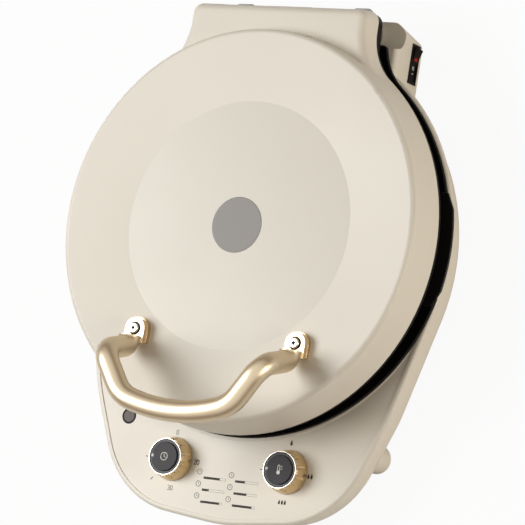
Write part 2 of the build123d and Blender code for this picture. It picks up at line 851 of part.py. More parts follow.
# Rocker switch: a bezel with its body behind it, and the rocker on two short pivots
pocket_deep = switch_deep - switch_back
with BuildPart() as switch_bezel:
    with BuildSketch(switch_plane):
        Rectangle(bezel_l, bezel_w)
    extrude(amount=bezel_t)
    with BuildSketch(switch_plane):
        Rectangle(switch_body_l, switch_body_w)
    extrude(amount=-switch_deep)
    with BuildSketch(switch_plane.offset(bezel_t)):
        Rectangle(switch_pocket_l, switch_pocket_w)
    extrude(amount=-pocket_deep, mode=Mode.SUBTRACT)
    pivot_x = housing_x - pivot_in
    pivot_low = switch_z - switch_body_w / 2
    with BuildSketch(Plane(origin=(pivot_x, pan_y + switch_y, pivot_low))):
        Circle(rocker_pin_r + run)
    extrude(amount=switch_body_w, mode=Mode.SUBTRACT)
save(switch_bezel, "switch_bezel")

rocker_half = switch_pocket_l / 2 - rocker_end_gap
rocker_end = rocker_rise + rocker_half * tan(radians(rocker_tilt))
with BuildPart() as switch_rocker:
    rocker_plane = Plane(origin=(pivot_x, pan_y + switch_y, switch_z), x_dir=(1, 0, 0))
    with BuildSketch(rocker_plane.rotated((0, 0, -rocker_tilt))):
        with BuildLine():
            Polyline(
                (rocker_end, -rocker_half),
                (rocker_rise, 0),
                (rocker_end, rocker_half),
                (-rocker_rise, rocker_half),
                (-rocker_depth, rocker_root),
                (-rocker_depth, -rocker_root),
                (-rocker_rise, -rocker_half),
                close=True,
            )
        make_face()
    extrude(amount=rocker_w / 2, both=True)
    with BuildSketch(rocker_plane):
        Circle(rocker_pin_r)
    extrude(amount=switch_body_w / 2 - slack / 2, both=True)
save(switch_rocker, "switch_rocker")

# Hinge: brackets on the base, pins through them, and the arms that carry the lid
for name, knuckle_x in (("left", left_knuckle_x), ("right", right_knuckle_x)):
    with BuildPart() as bracket:
        extrude(side_disc(knuckle_x, knuckle_r, hinge_y, hinge_z), amount=knuckle_w / 2, both=True)
        web_points = (
            (groove_y - web_l / 2, bracket_foot_z),
            (groove_y + web_l / 2, bracket_foot_z),
            (groove_y + web_l / 2, hinge_z),
            (groove_y - web_l / 2, hinge_z),
        )
        extrude(side_face(knuckle_x, web_points), amount=knuckle_w / 2, both=True)
        foot_low = (knuckle_x - bracket_foot_x / 2, bracket_y - bracket_foot_y / 2)
        foot_high = (knuckle_x + bracket_foot_x / 2, bracket_y + bracket_foot_y / 2)
        extrude(slab(bracket_foot_z, foot_low, foot_high), amount=bracket_foot_t)
        pin_face = side_disc(knuckle_x, pin_r, hinge_y, hinge_z)
        extrude(pin_face, amount=knuckle_w, both=True, mode=Mode.SUBTRACT)
        lugs = [(knuckle_x + turn * bracket_screw_x, bracket_y) for turn in (-1, 1)]
        extrude(discs(bracket_foot_z, screw_r + slack, lugs), amount=bracket_foot_t, mode=Mode.SUBTRACT)
    save(bracket, f"{name}_hinge_bracket")

with BuildPart() as bracket_screws:
    for knuckle_x in (left_knuckle_x, right_knuckle_x):
        lugs = [(knuckle_x + turn * bracket_screw_x, bracket_y) for turn in (-1, 1)]
        extrude(discs(bracket_foot_z, screw_head_r, lugs), amount=-screw_head_h)
        extrude(discs(bracket_foot_z, screw_r, lugs), amount=bracket_screw_l - seat)
save(bracket_screws, "bracket_screws")

with BuildPart() as hinge_pins:
    for knuckle_x, side in ((left_knuckle_x, -1), (right_knuckle_x, 1)):
        outer_x = knuckle_x + side * knuckle_w / 2
        pin_l = knuckle_w + arm_gap + arm_t + slack + 2 * clip_disc_t
        extrude(side_disc(outer_x, pin_head_r, hinge_y, hinge_z), amount=side * pin_head_t)
        extrude(side_disc(outer_x, pin_r, hinge_y, hinge_z), amount=-side * pin_l)
save(hinge_pins, "hinge_pins")

with BuildPart() as pin_clips:
    for knuckle_x, side in ((left_knuckle_x, -1), (right_knuckle_x, 1)):
        clip_x = knuckle_x - side * (knuckle_w / 2 + arm_gap + arm_t + slack)
        disc_t = -side * clip_disc_t
        extrude(side_disc(clip_x, clip_r, hinge_y, hinge_z), amount=disc_t)
        extrude(side_disc(clip_x, pin_r, hinge_y, hinge_z), amount=disc_t, mode=Mode.SUBTRACT)
save(pin_clips, "pin_clips")

for name, arm_x, tab_x in (("left", arm_xs[0], tab_xs[0]), ("right", arm_xs[1], tab_xs[1])):
    with BuildPart() as arm:
        with BuildSketch(flank(arm_x)):
            with BuildLine():
                CenterArc((hinge_y, hinge_z), arm_r, 0, 360)
                Polyline(
                    (tab_y - tab_l / 2, tab_z),
                    (tab_y - tab_l / 2, tab_z + tab_t),
                    (tab_y + tab_l / 2, tab_z + tab_t),
                )
            make_hull()
        extrude(amount=arm_t)
        tab_low = (tab_x - tab_w / 2, tab_y - tab_l / 2)
        tab_high = (tab_x + tab_w / 2, tab_y + tab_l / 2)
        extrude(slab(tab_z, tab_low, tab_high), amount=tab_t)
        extrude(side_disc(arm_x, pin_r + run, hinge_y, hinge_z), amount=arm_t, mode=Mode.SUBTRACT)
        holes = [(tab_x, tab_y + turn * rod_pitch / 2) for turn in (-1, 1)]
        extrude(discs(tab_z, rod_r + run, holes), amount=tab_t, mode=Mode.SUBTRACT)
    save(arm, f"{name}_hinge_arm")

with BuildPart() as arm_tie_bar:
    bar_low = (tab_xs[0] + tab_w / 2, tab_y - bar_l / 2)
    bar_high = (tab_xs[1] - tab_w / 2, tab_y + bar_l / 2)
    extrude(slab(tab_z, bar_low, bar_high), amount=tab_t)
save(arm_tie_bar, "arm_tie_bar")

# Outer body of the lid: a domed cover whose neck reaches back over the hinge
with BuildPart() as dome:
    neck_face = keyhole(rim_z, lid_r - neck_tuck, neck_x, neck_y, neck_corner)
    extrude(neck_face, amount=neck_h, taper=lid_draft)
    fillet(dome.faces().sort_by(Axis.Z)[-1].edges(), neck_round)
    with BuildSketch(section()) as dome_face:
        with BuildLine():
            Polyline((0, rim_z), (lid_r, rim_z), (shoulder_r, shoulder_z), (dish_r, dish_z))
            TangentArc((0, dish_z + crown), (dish_r, dish_z), tangent=(1, 0))
            Line((0, dish_z + crown), (0, rim_z))
        make_face()
        fillet(dome_face.vertices().sort_by(Axis.Y)[-1], shoulder_round)
    revolve(axis=pan_axis)

# Hollow of the lid, round the bosses for its screws
with BuildPart() as lid_room:
    neck_hollow = keyhole(rim_z, lid_r - neck_tuck, neck_x, neck_y, neck_corner, lid_wall)
    extrude(neck_hollow, amount=neck_h - lid_wall, taper=lid_draft)
    with BuildSketch(section()):
        with BuildLine():
            Polyline(
                (0, rim_z),
                (lid_r - lid_wall, rim_z),
                (shoulder_r - lid_wall, shoulder_z - lid_wall),
                (dish_r, dish_z - lid_wall),
            )
            TangentArc((0, dish_z + crown - lid_wall), (dish_r, dish_z - lid_wall), tangent=(1, 0))
            Line((0, dish_z + crown - lid_wall), (0, rim_z))
        make_face()
    revolve(axis=pan_axis)
    extrude(discs(rim_z, lid_boss_r, lid_screw_spots), amount=shoulder_h, mode=Mode.SUBTRACT)
    boss_z = lug_z - lug_lift - lid_wall - handle_boss_l
    extrude(discs(boss_z, handle_boss_r, handle_spots), amount=shoulder_h, mode=Mode.SUBTRACT)

with BuildPart() as lid_shell:
    add(dome.part)
    add(lid_room.part, mode=Mode.SUBTRACT)
    for low_x, high_x in (slot_left, slot_right):
        slot = slab(rim_z, (low_x, neck_y - 2 * neck_round), (high_x, neck_y))
        extrude(slot, amount=slot_h, mode=Mode.SUBTRACT)
    rod_boss_z = tab_z + tab_t + seat
    extrude(discs(rod_boss_z, rod_boss_r, rod_spots), amount=ceiling_z - rod_boss_z)
    extrude(discs(rod_boss_z, rod_r, rod_spots), amount=rod_root, mode=Mode.SUBTRACT)
    extrude(discs(rim_z, screw_r, lid_screw_spots), amount=lid_screw_l, mode=Mode.SUBTRACT)
    thread_z = lug_top_z - handle_screw_l
    extrude(discs(thread_z, handle_screw_r, handle_spots), amount=handle_screw_l, mode=Mode.SUBTRACT)
save(lid_shell, "lid_shell")

with BuildPart() as guide_rods:
    extrude(discs(rod_head_z, rod_head_r, rod_spots), amount=rod_head_h)
    extrude(discs(rod_head_z, rod_r, rod_spots), amount=rod_boss_z + rod_root - rod_head_z)
save(guide_rods, "guide_rods")

# Deeper edge of the black frame round the lid's neck
with BuildPart() as neck_skirt:
    extrude(keyhole(skirt_z, lid_r, neck_x, neck_y, neck_corner, frame_inset), amount=skirt_h)
    inside = keyhole(skirt_z, lid_r, neck_x, neck_y, neck_corner, frame_inset + lid_wall)
    extrude(inside, amount=skirt_h, mode=Mode.SUBTRACT)
    skirt_area = slab(skirt_z, (-neck_x, skirt_front), (neck_x, neck_y))
    extrude(skirt_area, amount=skirt_h, mode=Mode.INTERSECT)

# Black frame that closes the lid from below and holds the upper plate on its ledge
with BuildPart() as lid_frame:
    frame_face = keyhole(frame_z, lid_r, neck_x, neck_y, neck_corner, frame_inset)
    extrude(frame_face, amount=frame_h)
    add(neck_skirt.part)
    extrude(discs(frame_z, frame_bore), amount=frame_h, mode=Mode.SUBTRACT)
    extrude(discs(ledge_z, frame_bore + ledge_w), amount=plate_flange_t, mode=Mode.SUBTRACT)
    with BuildSketch(level(frame_z + frame_floor_t)):
        pocket_x = neck_x - frame_inset - lid_wall
        pocket_y = neck_y - frame_inset - lid_wall
        with Locations((0, pocket_y / 2)):
            Rectangle(2 * pocket_x, pocket_y)
        Circle(lid_r - frame_inset, mode=Mode.SUBTRACT)
    extrude(amount=frame_h - frame_floor_t, mode=Mode.SUBTRACT)
    for low_x, high_x in (slot_left, slot_right):
        slot = slab(skirt_z, (low_x, slot_front), (high_x, neck_y))
        extrude(slot, amount=rim_z - skirt_z, mode=Mode.SUBTRACT)
    extrude(discs(frame_z, screw_r + slack, lid_screw_spots), amount=frame_h, mode=Mode.SUBTRACT)
    head_room = discs(frame_z, screw_head_r + slack, lid_screw_spots)
    extrude(head_room, amount=screw_head_h, mode=Mode.SUBTRACT)
save(lid_frame, "lid_frame")

with BuildPart() as lid_screws:
    extrude(discs(frame_z, screw_head_r, lid_screw_spots), amount=screw_head_h)
    extrude(discs(frame_z, screw_r, lid_screw_spots), amount=frame_h + lid_screw_l - seat)
save(lid_screws, "lid_screws")

with BuildPart() as upper_plate:
    extrude(discs(plate_z, frame_bore - seat), amount=rim_z - plate_z)
    extrude(discs(ledge_z, frame_bore + ledge_w - seat), amount=plate_flange_t)
save(upper_plate, "upper_plate")

with BuildPart() as plate_clips:
    with BuildSketch(level(rim_z)):
        with PolarLocations(clip_ring, clip_count, clip_start):
            Rectangle(clip_l, clip_w)
    extrude(amount=clip_t)
save(plate_clips, "plate_clips")

# Upper heat: element, clips, the dish over them, and a safety cut-out on its back
upper_element = heater(upper_element_z, upper_tail_y)
save(upper_element, "upper_element")

with BuildPart() as upper_element_clips:
    with BuildSketch(level(rim_z)):
        with PolarLocations(element_ring, clip_count, clip_start):
            Rectangle(saddle_w, saddle_l)
    extrude(amount=upper_element_z - rim_z)
    with BuildSketch(section()):
        with Locations((element_ring, upper_element_z)):
            Circle(element_r + seat)
    revolve(axis=pan_axis, mode=Mode.SUBTRACT)
save(upper_element_clips, "upper_element_clips")

with BuildPart() as upper_reflector:
    upper_dish_top = rim_z + upper_dish_h
    dish_points = (
        (0, upper_dish_top),
        (upper_dish_r - dish_slope, upper_dish_top),
        (upper_dish_r, rim_z),
        (upper_dish_r - sheet_t, rim_z),
        (upper_dish_r - dish_slope - sheet_t, upper_dish_top - sheet_t),
        (0, upper_dish_top - sheet_t),
    )
    revolve(round_face(dish_points), axis=pan_axis)
    tail_cut = tail_holes(upper_element_z, upper_tail_y)
    extrude(tail_cut, amount=upper_tail_y - element_ring, mode=Mode.SUBTRACT)
save(upper_reflector, "upper_reflector")

with BuildPart() as upper_cutout:
    extrude(discs(upper_dish_top, cutout_r), amount=cutout_h)
save(upper_cutout, "upper_cutout")


def lug_face(z, front, grow=0.0):
    """The handle's two round ended feet, with straight front edges, widened by grow."""
    with BuildSketch(level(z)) as feet:
        for side in (-1, 1):
            with Locations((side * handle_x, handle_y)):
                Circle(lug_r + grow)
            with Locations((side * handle_x, handle_y - front / 2)):
                Rectangle(2 * (lug_r + grow), front)
    return feet.sketch


# Handle: a bent tube with flat feet, on shaped pads, held by two screws
with BuildPart() as handle_pads:
    extrude(lug_face(lug_z, lug_front, lug_pad_rim), amount=-2 * lug_lift)
    add(dome.part, mode=Mode.SUBTRACT)
    screw_hole = discs(lug_z, handle_screw_r + slack, handle_spots)
    extrude(screw_hole, amount=-2 * lug_lift, mode=Mode.SUBTRACT)
save(handle_pads, "handle_pads")

with BuildPart() as handle_tube:
    foot_y = handle_y - tube_start
    tube_z = lug_z + tube_r + seat
    grip_z = lug_z + grip_lift
    with BuildLine() as grip_path:
        FilletPolyline(
            (handle_x, pan_y + foot_y, tube_z),
            (handle_x, pan_y + bend_y, tube_z),
            (rise_x, pan_y + rise_y, grip_z),
            (grip_corner_x, pan_y - grip_reach + grip_sag, grip_z),
            (0, pan_y - grip_reach, grip_z),
            (-grip_corner_x, pan_y - grip_reach + grip_sag, grip_z),
            (-rise_x, pan_y + rise_y, grip_z),
            (-handle_x, pan_y + bend_y, tube_z),
            (-handle_x, pan_y + foot_y, tube_z),
            radius=[
                bend_r,
                rise_bend_r,
                corner_bend_r,
                bow_r,
                corner_bend_r,
                rise_bend_r,
                bend_r,
            ],
        )
    with BuildSketch(Plane(origin=(handle_x, pan_y + foot_y, tube_z), z_dir=(0, -1, 0))):
        Circle(tube_r)
    sweep(path=grip_path.wires()[0])
    extrude(lug_face(lug_z, lug_front + lug_overlap), amount=lug_t)
    extrude(discs(lug_z, handle_screw_r + slack, handle_spots), amount=lug_t, mode=Mode.SUBTRACT)
save(handle_tube, "handle_tube")

with BuildPart() as handle_screws:
    extrude(discs(lug_top_z, handle_screw_head_r, handle_spots), amount=handle_screw_head_h)
    fillet(handle_screws.faces().sort_by(Axis.Z)[-2:].edges(), handle_screw_head_h / 2)
    extrude(discs(lug_top_z, handle_screw_r, handle_spots), amount=seat - handle_screw_l)
    with BuildSketch(level(lug_top_z + handle_screw_head_h)):
        with Locations(*handle_spots):
            Rectangle(cross_l, cross_w, rotation=cross_turn)
            Rectangle(cross_w, cross_l, rotation=cross_turn)
    extrude(amount=-cross_deep, mode=Mode.SUBTRACT)
save(handle_screws, "handle_screws")
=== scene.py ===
# %% [markdown]
# # An electric baking pan
# The cooker stands on a white table: a cream base with two knobs in front, a black pan sunk into
# its deck, and a cream lid that floats on a hinge. Its solids come ready made from the CAD part.
# Here they get their finishes, and the printed marks and fine trim that solids leave out.

import json
from math import radians

import bmesh
import bpy
import numpy as np
from mathutils import Matrix, Vector


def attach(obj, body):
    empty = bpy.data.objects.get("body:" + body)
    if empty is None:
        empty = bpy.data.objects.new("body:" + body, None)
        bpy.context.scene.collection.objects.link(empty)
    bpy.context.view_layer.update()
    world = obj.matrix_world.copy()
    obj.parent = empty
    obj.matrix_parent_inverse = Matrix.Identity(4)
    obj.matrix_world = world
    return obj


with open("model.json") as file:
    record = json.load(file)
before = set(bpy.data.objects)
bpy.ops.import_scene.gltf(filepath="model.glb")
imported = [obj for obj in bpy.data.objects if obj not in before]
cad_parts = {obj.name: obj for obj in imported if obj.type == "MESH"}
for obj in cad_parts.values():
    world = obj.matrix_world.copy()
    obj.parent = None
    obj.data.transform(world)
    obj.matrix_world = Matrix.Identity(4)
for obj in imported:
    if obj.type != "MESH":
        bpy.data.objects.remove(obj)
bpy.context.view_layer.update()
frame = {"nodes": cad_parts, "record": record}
nodes = frame["nodes"]

# %% [markdown]
# ## Lengths
# Blender counts in metres, as the CAD part's frame does. The lengths below are in millimetres, and
# MM turns them. The round pan's axis stands a little behind the origin, and most places are easier
# to say from that axis, so PAN_Y holds the step between.

# %% Lengths from the CAD part
MM = 0.001
PAN_Y = 22.75
PANEL_Z = 42.4
KNOB_X = 51.9
KNOB_Y = -181.8
LID_CENTRE_Z = 89.5
DISH_R = 98.3
CROWN = 1.5
print("knobs at", KNOB_X, KNOB_Y, "from the pan's axis")

# %% [markdown]
# ## Camera
# The photograph looks down on the cooker from its right side, steeply, and the camera is rolled so
# that the hinge points up. A long lens keeps the two ends of the cooker nearly the same size. The
# place and direction were fitted to the round lid, the collar and the knobs.

# %% Camera
CAMERA_PLACE = Vector((1.3713, -0.3427, 2.3570))
LOOK = Vector((-0.5055, 0.1271, -0.8534)).normalized()
PHOTO_UP = Vector((-0.0702, 0.9797, 0.1875))
FOCAL_PX = 3461.7
PHOTO_PX = 525
SENSOR = 36.0


def add_camera():
    """Camera whose own -Z is the view direction and whose own Y is the photograph's up."""
    right = LOOK.cross(PHOTO_UP).normalized()
    up = right.cross(LOOK)
    lens = bpy.data.cameras.new("photo_camera")
    lens.sensor_fit = "HORIZONTAL"
    lens.sensor_width = SENSOR
    lens.lens = FOCAL_PX / PHOTO_PX * SENSOR
    lens.clip_start = 0.1
    lens.clip_end = 20.0
    camera = bpy.data.objects.new("photo_camera", lens)
    turn = Matrix((right, up, -LOOK)).transposed()
    camera.matrix_world = Matrix.Translation(CAMERA_PLACE) @ turn.to_4x4()
    bpy.context.scene.collection.objects.link(camera)
    bpy.context.scene.camera = camera
    return camera


camera = add_camera()
print("lens", round(camera.data.lens, 1), "mm")

# %% [markdown]
# ## Node helpers
# A material is a graph of nodes. A few small helpers keep the graphs short to read: they add a node
# with its values, start a material with its shader, and start or place a group that several
# materials share.

# %% Node helpers
def add_node(tree, kind, values=None, **settings):
    """One node with its settings and the values of its unlinked sockets."""
    node = tree.nodes.new(kind)
    for name, value in settings.items():
        setattr(node, name, value)
    for socket, value in (values or {}).items():
        node.inputs[socket].default_value = value
    return node


def ramp_node(tree, start, end, low=0.0, high=1.0, **settings):
    """Node that turns a value between start and end into one between low and high."""
    values = {"From Min": start, "From Max": end, "To Min": low, "To Max": high}
    return add_node(tree, "ShaderNodeMapRange", values, **settings)


def start_material(name, **values):
    """A material with its Principled shader, whose plain sockets are set by name."""
    material = bpy.data.materials.new(name)
    material.use_nodes = True
    tree = material.node_tree
    tree.nodes.clear()
    shader = add_node(tree, "ShaderNodeBsdfPrincipled")
    for socket, value in values.items():
        shader.inputs[socket.replace("_", " ")].default_value = value
    surface = add_node(tree, "ShaderNodeOutputMaterial")
    tree.links.new(shader.outputs["BSDF"], surface.inputs["Surface"])
    return material, tree, shader


def start_group(name, inputs, outputs):
    """A shader node group with float inputs (name: default) and named outputs (name: kind)."""
    tree = bpy.data.node_groups.new(name, "ShaderNodeTree")
    for label, default in inputs.items():
        socket = tree.interface.new_socket(label, in_out="INPUT", socket_type="NodeSocketFloat")
        socket.default_value = default
    for label, kind in outputs.items():
        tree.interface.new_socket(label, in_out="OUTPUT", socket_type=kind)
    entry = add_node(tree, "NodeGroupInput")
    leave = add_node(tree, "NodeGroupOutput")
    return tree, entry, leave


def place_group(tree, group, **values):
    """The group as one node of a material, with its own values."""
    node = add_node(tree, "ShaderNodeGroup", node_tree=group)
    for label, value in values.items():
        node.inputs[label.replace("_", " ")].default_value = value
    return node


def linear(red, green, blue):
    """Colour written as on a screen, 0 to 255, turned into the linear light that shaders use."""
    share = np.array([red, green, blue]) / 255
    light = np.where(share <= 0.04045, share / 12.92, ((share + 0.055) / 1.055) ** 2.4)
    return (*light.tolist(), 1.0)


print("node helpers ready")

# %% [markdown]
# ## Effects that several finishes share
# Moulded plastic isn't perfectly even: its tool was spark eroded, which leaves a very fine grain,
# and thick and thin places cool into slightly different tones. No edge is perfectly sharp either.
# The edge group rounds every edge in the shading and also says where edges are, so that a lighter
# tone can be painted along them as a highlight.

# %% Edge group
EDGE_START = 0.99
EDGE_FULL = 0.85


def edge_group():
    """Bevel normal, and a mask that is 1 where that normal turns away from the flat one."""
    tree, entry, leave = start_group(
        "rounded_edges",
        {"Radius": 0.0004},
        {"Normal": "NodeSocketVector", "Edge": "NodeSocketFloat"},
    )
    bevel = add_node(tree, "ShaderNodeBevel", samples=4)
    flat = add_node(tree, "ShaderNodeNewGeometry")
    dot = add_node(tree, "ShaderNodeVectorMath", operation="DOT_PRODUCT")
    ramp = ramp_node(tree, EDGE_START, EDGE_FULL)
    links = tree.links
    links.new(entry.outputs["Radius"], bevel.inputs["Radius"])
    links.new(bevel.outputs["Normal"], dot.inputs[0])
    links.new(flat.outputs["Normal"], dot.inputs[1])
    links.new(dot.outputs["Value"], ramp.inputs["Value"])
    links.new(bevel.outputs["Normal"], leave.inputs["Normal"])
    links.new(ramp.outputs["Result"], leave.inputs["Edge"])
    return tree


EDGES = edge_group()
print("group:", EDGES.name)

# %% Moulded grain group
def grain_group():
    """Fine noise as height, and broad slow noise as tone, both about 0.5."""
    tree, entry, leave = start_group(
        "moulded_grain",
        {"Grain": 2600.0, "Patch": 9.0},
        {"Height": "NodeSocketFloat", "Tone": "NodeSocketFloat"},
    )
    place = add_node(tree, "ShaderNodeTexCoord")
    fine = add_node(tree, "ShaderNodeTexNoise", {"Detail": 2.0, "Roughness": 0.55})
    broad = add_node(tree, "ShaderNodeTexNoise", {"Detail": 3.0, "Roughness": 0.5})
    links = tree.links
    for texture, label in ((fine, "Grain"), (broad, "Patch")):
        links.new(place.outputs["Object"], texture.inputs["Vector"])
        links.new(entry.outputs[label], texture.inputs["Scale"])
    links.new(fine.outputs["Fac"], leave.inputs["Height"])
    links.new(broad.outputs["Fac"], leave.inputs["Tone"])
    return tree


GRAIN = grain_group()
print("group:", GRAIN.name)

# %% [markdown]
# Gold paint and non-stick coating both hold small flat flakes that catch the light one by one.
# Voronoi cells give each flake its own grey, and only the brightest cells are kept as sparks.

# %% Flake group
def flake_group():
    """Cells of random value, as an even scatter and as a thresholded mask of sparks."""
    tree, entry, leave = start_group(
        "metal_flakes",
        {"Flakes": 2200.0, "Share": 0.8},
        {"Scatter": "NodeSocketFloat", "Spark": "NodeSocketFloat"},
    )
    place = add_node(tree, "ShaderNodeTexCoord")
    cells = add_node(tree, "ShaderNodeTexVoronoi")
    parts = add_node(tree, "ShaderNodeSeparateColor")
    spark = add_node(tree, "ShaderNodeMath", operation="GREATER_THAN")
    links = tree.links
    links.new(place.outputs["Object"], cells.inputs["Vector"])
    links.new(entry.outputs["Flakes"], cells.inputs["Scale"])
    links.new(cells.outputs["Color"], parts.inputs["Color"])
    links.new(parts.outputs["Red"], spark.inputs[0])
    links.new(entry.outputs["Share"], spark.inputs[1])
    links.new(parts.outputs["Green"], leave.inputs["Scatter"])
    links.new(spark.outputs["Value"], leave.inputs["Spark"])
    return tree


FLAKES = flake_group()
print("group:", FLAKES.name)

# %% [markdown]
# Sheet and bar metal carries the fine parallel lines of rolling or brushing. Noise that is
# stretched fiftyfold along one direction makes such lines.

# %% Brushing group
def brushing_group():
    """Noise read at a place whose X is squeezed, so that its blobs become lines along X."""
    tree, entry, leave = start_group(
        "brushed_lines",
        {"Lines": 1500.0, "Smears": 30.0},
        {"Height": "NodeSocketFloat", "Smear": "NodeSocketFloat"},
    )
    place = add_node(tree, "ShaderNodeTexCoord")
    squeeze = add_node(tree, "ShaderNodeMapping", {"Scale": (0.02, 1.0, 1.0)})
    lines_noise = add_node(tree, "ShaderNodeTexNoise", {"Detail": 2.0})
    smears = add_node(tree, "ShaderNodeTexNoise", {"Detail": 4.0, "Roughness": 0.6})
    links = tree.links
    links.new(place.outputs["Object"], squeeze.inputs["Vector"])
    links.new(squeeze.outputs["Vector"], lines_noise.inputs["Vector"])
    links.new(entry.outputs["Lines"], lines_noise.inputs["Scale"])
    links.new(place.outputs["Object"], smears.inputs["Vector"])
    links.new(entry.outputs["Smears"], smears.inputs["Scale"])
    links.new(lines_noise.outputs["Fac"], leave.inputs["Height"])
    links.new(smears.outputs["Fac"], leave.inputs["Smear"])
    return tree


BRUSHING = brushing_group()
print("group:", BRUSHING.name)

# %% [markdown]
# ## Meshes from arrays
# Most shapes here are grids of points worked out at once with numpy. The faces are the squares of
# such a grid. A way that closes on itself joins its last row or column to its first, and points
# that fall together, as in the middle of the disc, are merged.

# %% Mesh helpers
def grid_faces(rows, columns, wrap_rows=False, wrap_columns=False):
    """Squares of a grid as four index columns, with an extra row or column where it wraps."""
    down = np.arange(rows if wrap_rows else rows - 1)
    over = np.arange(columns if wrap_columns else columns - 1)
    i, j = np.meshgrid(down, over, indexing="ij")
    next_i = (i + 1) % rows
    next_j = (j + 1) % columns
    corners = (
        i * columns + j,
        i * columns + next_j,
        next_i * columns + next_j,
        next_i * columns + j,
    )
    return np.stack([corner.ravel() for corner in corners], axis=1)


def mesh_piece(name, points, faces, finish, smooth=True):
    """Object at the origin from points (metres) and faces, merged, turned outward and finished."""
    mesh = bpy.data.meshes.new(name)
    mesh.from_pydata(np.asarray(points).reshape(-1, 3).tolist(), [], [list(face) for face in faces])
    shape = bmesh.new()
    shape.from_mesh(mesh)
    bmesh.ops.remove_doubles(shape, verts=shape.verts, dist=1e-7)
    bmesh.ops.dissolve_degenerate(shape, edges=shape.edges, dist=1e-8)
    bmesh.ops.recalc_face_normals(shape, faces=shape.faces)
    shape.to_mesh(mesh)
    shape.free()
    if smooth:
        mesh.shade_smooth()
    else:
        mesh.shade_flat()
    mesh.materials.append(finish)
    piece = bpy.data.objects.new(name, mesh)
    bpy.context.scene.collection.objects.link(piece)
    return piece


def grid_piece(name, points, finish, wrap_columns=False):
    """Object from a grid of points (rows, columns, 3)."""
    rows, columns = points.shape[:2]
    faces = grid_faces(rows, columns, wrap_columns=wrap_columns)
    return mesh_piece(name, points, faces, finish)


def thicken(piece, thickness, offset):
    """Thickness in millimetres, all of it under the faces (offset -1) or half on each side (0)."""
    skin = piece.modifiers.new("skin", "SOLIDIFY")
    skin.thickness = thickness * MM
    skin.offset = offset


print("mesh helpers ready")

# %% [markdown]
# ## Finishes
# The shell is one warm cream plastic with a satin skin. Its colour is nearly even: the broad tone
# of the grain group moves it by a percent or two, the fine grain only shows as a soft gloss, and
# edges are painted a little lighter as a highlight.

# %% Cream plastic
def tone_mix(tree, low, high, factor, **settings):
    """Colour between two tones, each a plain colour or a socket, moved by the factor's socket."""
    mix = add_node(tree, "ShaderNodeMix", data_type="RGBA", **settings)
    for label, tone in (("A", low), ("B", high)):
        if isinstance(tone, bpy.types.NodeSocket):
            tree.links.new(tone, mix.inputs[label])
        else:
            mix.inputs[label].default_value = tone
    tree.links.new(factor, mix.inputs["Factor"])
    return mix.outputs["Result"]


def roughness_range(tree, factor, low, high):
    """Roughness between two values, moved by a factor that changes over the surface."""
    ramp = ramp_node(tree, 0.3, 0.7, low, high)
    tree.links.new(factor, ramp.inputs["Value"])
    return ramp.outputs["Result"]


def add_bump(tree, shader, height, distance, under):
    """Bump of the height over the normal under it, into the shader."""
    bump = add_node(tree, "ShaderNodeBump", {"Strength": 1.0, "Distance": distance})
    tree.links.new(height, bump.inputs["Height"])
    tree.links.new(under, bump.inputs["Normal"])
    tree.links.new(bump.outputs["Normal"], shader.inputs["Normal"])


CREAM_LOW = linear(226, 219, 205)
CREAM_HIGH = linear(230, 223, 210)
CREAM_EDGE_HIGHLIGHT = linear(238, 232, 220)
CREAM_GLOSS = (0.36, 0.44)


def moulded_plastic(
    name, low, high, edge, gloss, grain=2600.0, depth=0.000006, radius=0.0005, **values
):
    """Plastic from the grain and edge groups: two tones, a painted edge highlight and a range of
    roughness.
    """
    material, tree, shader = start_material(name, **values)
    grain_node = place_group(tree, GRAIN, Grain=grain)
    edges = place_group(tree, EDGES, Radius=radius)
    body = tone_mix(tree, low, high, grain_node.outputs["Tone"])
    # Painted highlight: edges take the lighter edge tone.
    highlighted = tone_mix(tree, body, edge, edges.outputs["Edge"])
    tree.links.new(highlighted, shader.inputs["Base Color"])
    rough = roughness_range(tree, grain_node.outputs["Tone"], *gloss)
    tree.links.new(rough, shader.inputs["Roughness"])
    add_bump(tree, shader, grain_node.outputs["Height"], depth, edges.outputs["Normal"])
    return material, tree, shader


cream, _, _ = moulded_plastic("cream_plastic", CREAM_LOW, CREAM_HIGH, CREAM_EDGE_HIGHLIGHT, CREAM_GLOSS)
print("finish:", cream.name)

# %% [markdown]
# The middle of the lid, inside its crease, is made a shade greyer than the ring round it. The mask
# is the distance from the pan's axis.

# %% Cream lid with its greyer middle
MIDDLE_GREY = (0.955, 0.965, 0.975, 1.0)
MIDDLE_SOFT = 0.6


def distance_ramp(tree, place, x, y, start, end):
    """0 at one distance from the upright axis at x, y and 1 at another, in millimetres."""
    values = {"Location": (-x * MM, -y * MM, 0.0), "Scale": (1.0, 1.0, 0.0)}
    flat = add_node(tree, "ShaderNodeMapping", values)
    length = add_node(tree, "ShaderNodeVectorMath", operation="LENGTH")
    ramp = ramp_node(tree, start * MM, end * MM)
    tree.links.new(place, flat.inputs["Vector"])
    tree.links.new(flat.outputs["Vector"], length.inputs[0])
    tree.links.new(length.outputs["Value"], ramp.inputs["Value"])
    return ramp.outputs["Result"]


def radial_mask(tree, radius, soft):
    """1 inside the radius about the pan's axis, 0 outside, with a short ramp between."""
    place = add_node(tree, "ShaderNodeTexCoord")
    return distance_ramp(tree, place.outputs["Object"], 0.0, PAN_Y, radius + soft, radius - soft)


cream_lid, lid_tree, lid_shader = moulded_plastic(
    "cream_lid", CREAM_LOW, CREAM_HIGH, CREAM_EDGE_HIGHLIGHT, CREAM_GLOSS
)
skin = lid_shader.inputs["Base Color"].links[0].from_socket
middle = radial_mask(lid_tree, DISH_R, MIDDLE_SOFT)
greyed_middle = tone_mix(lid_tree, skin, MIDDLE_GREY, middle, blend_type="MULTIPLY")
lid_tree.links.new(greyed_middle, lid_shader.inputs["Base Color"])
print("finish:", cream_lid.name)

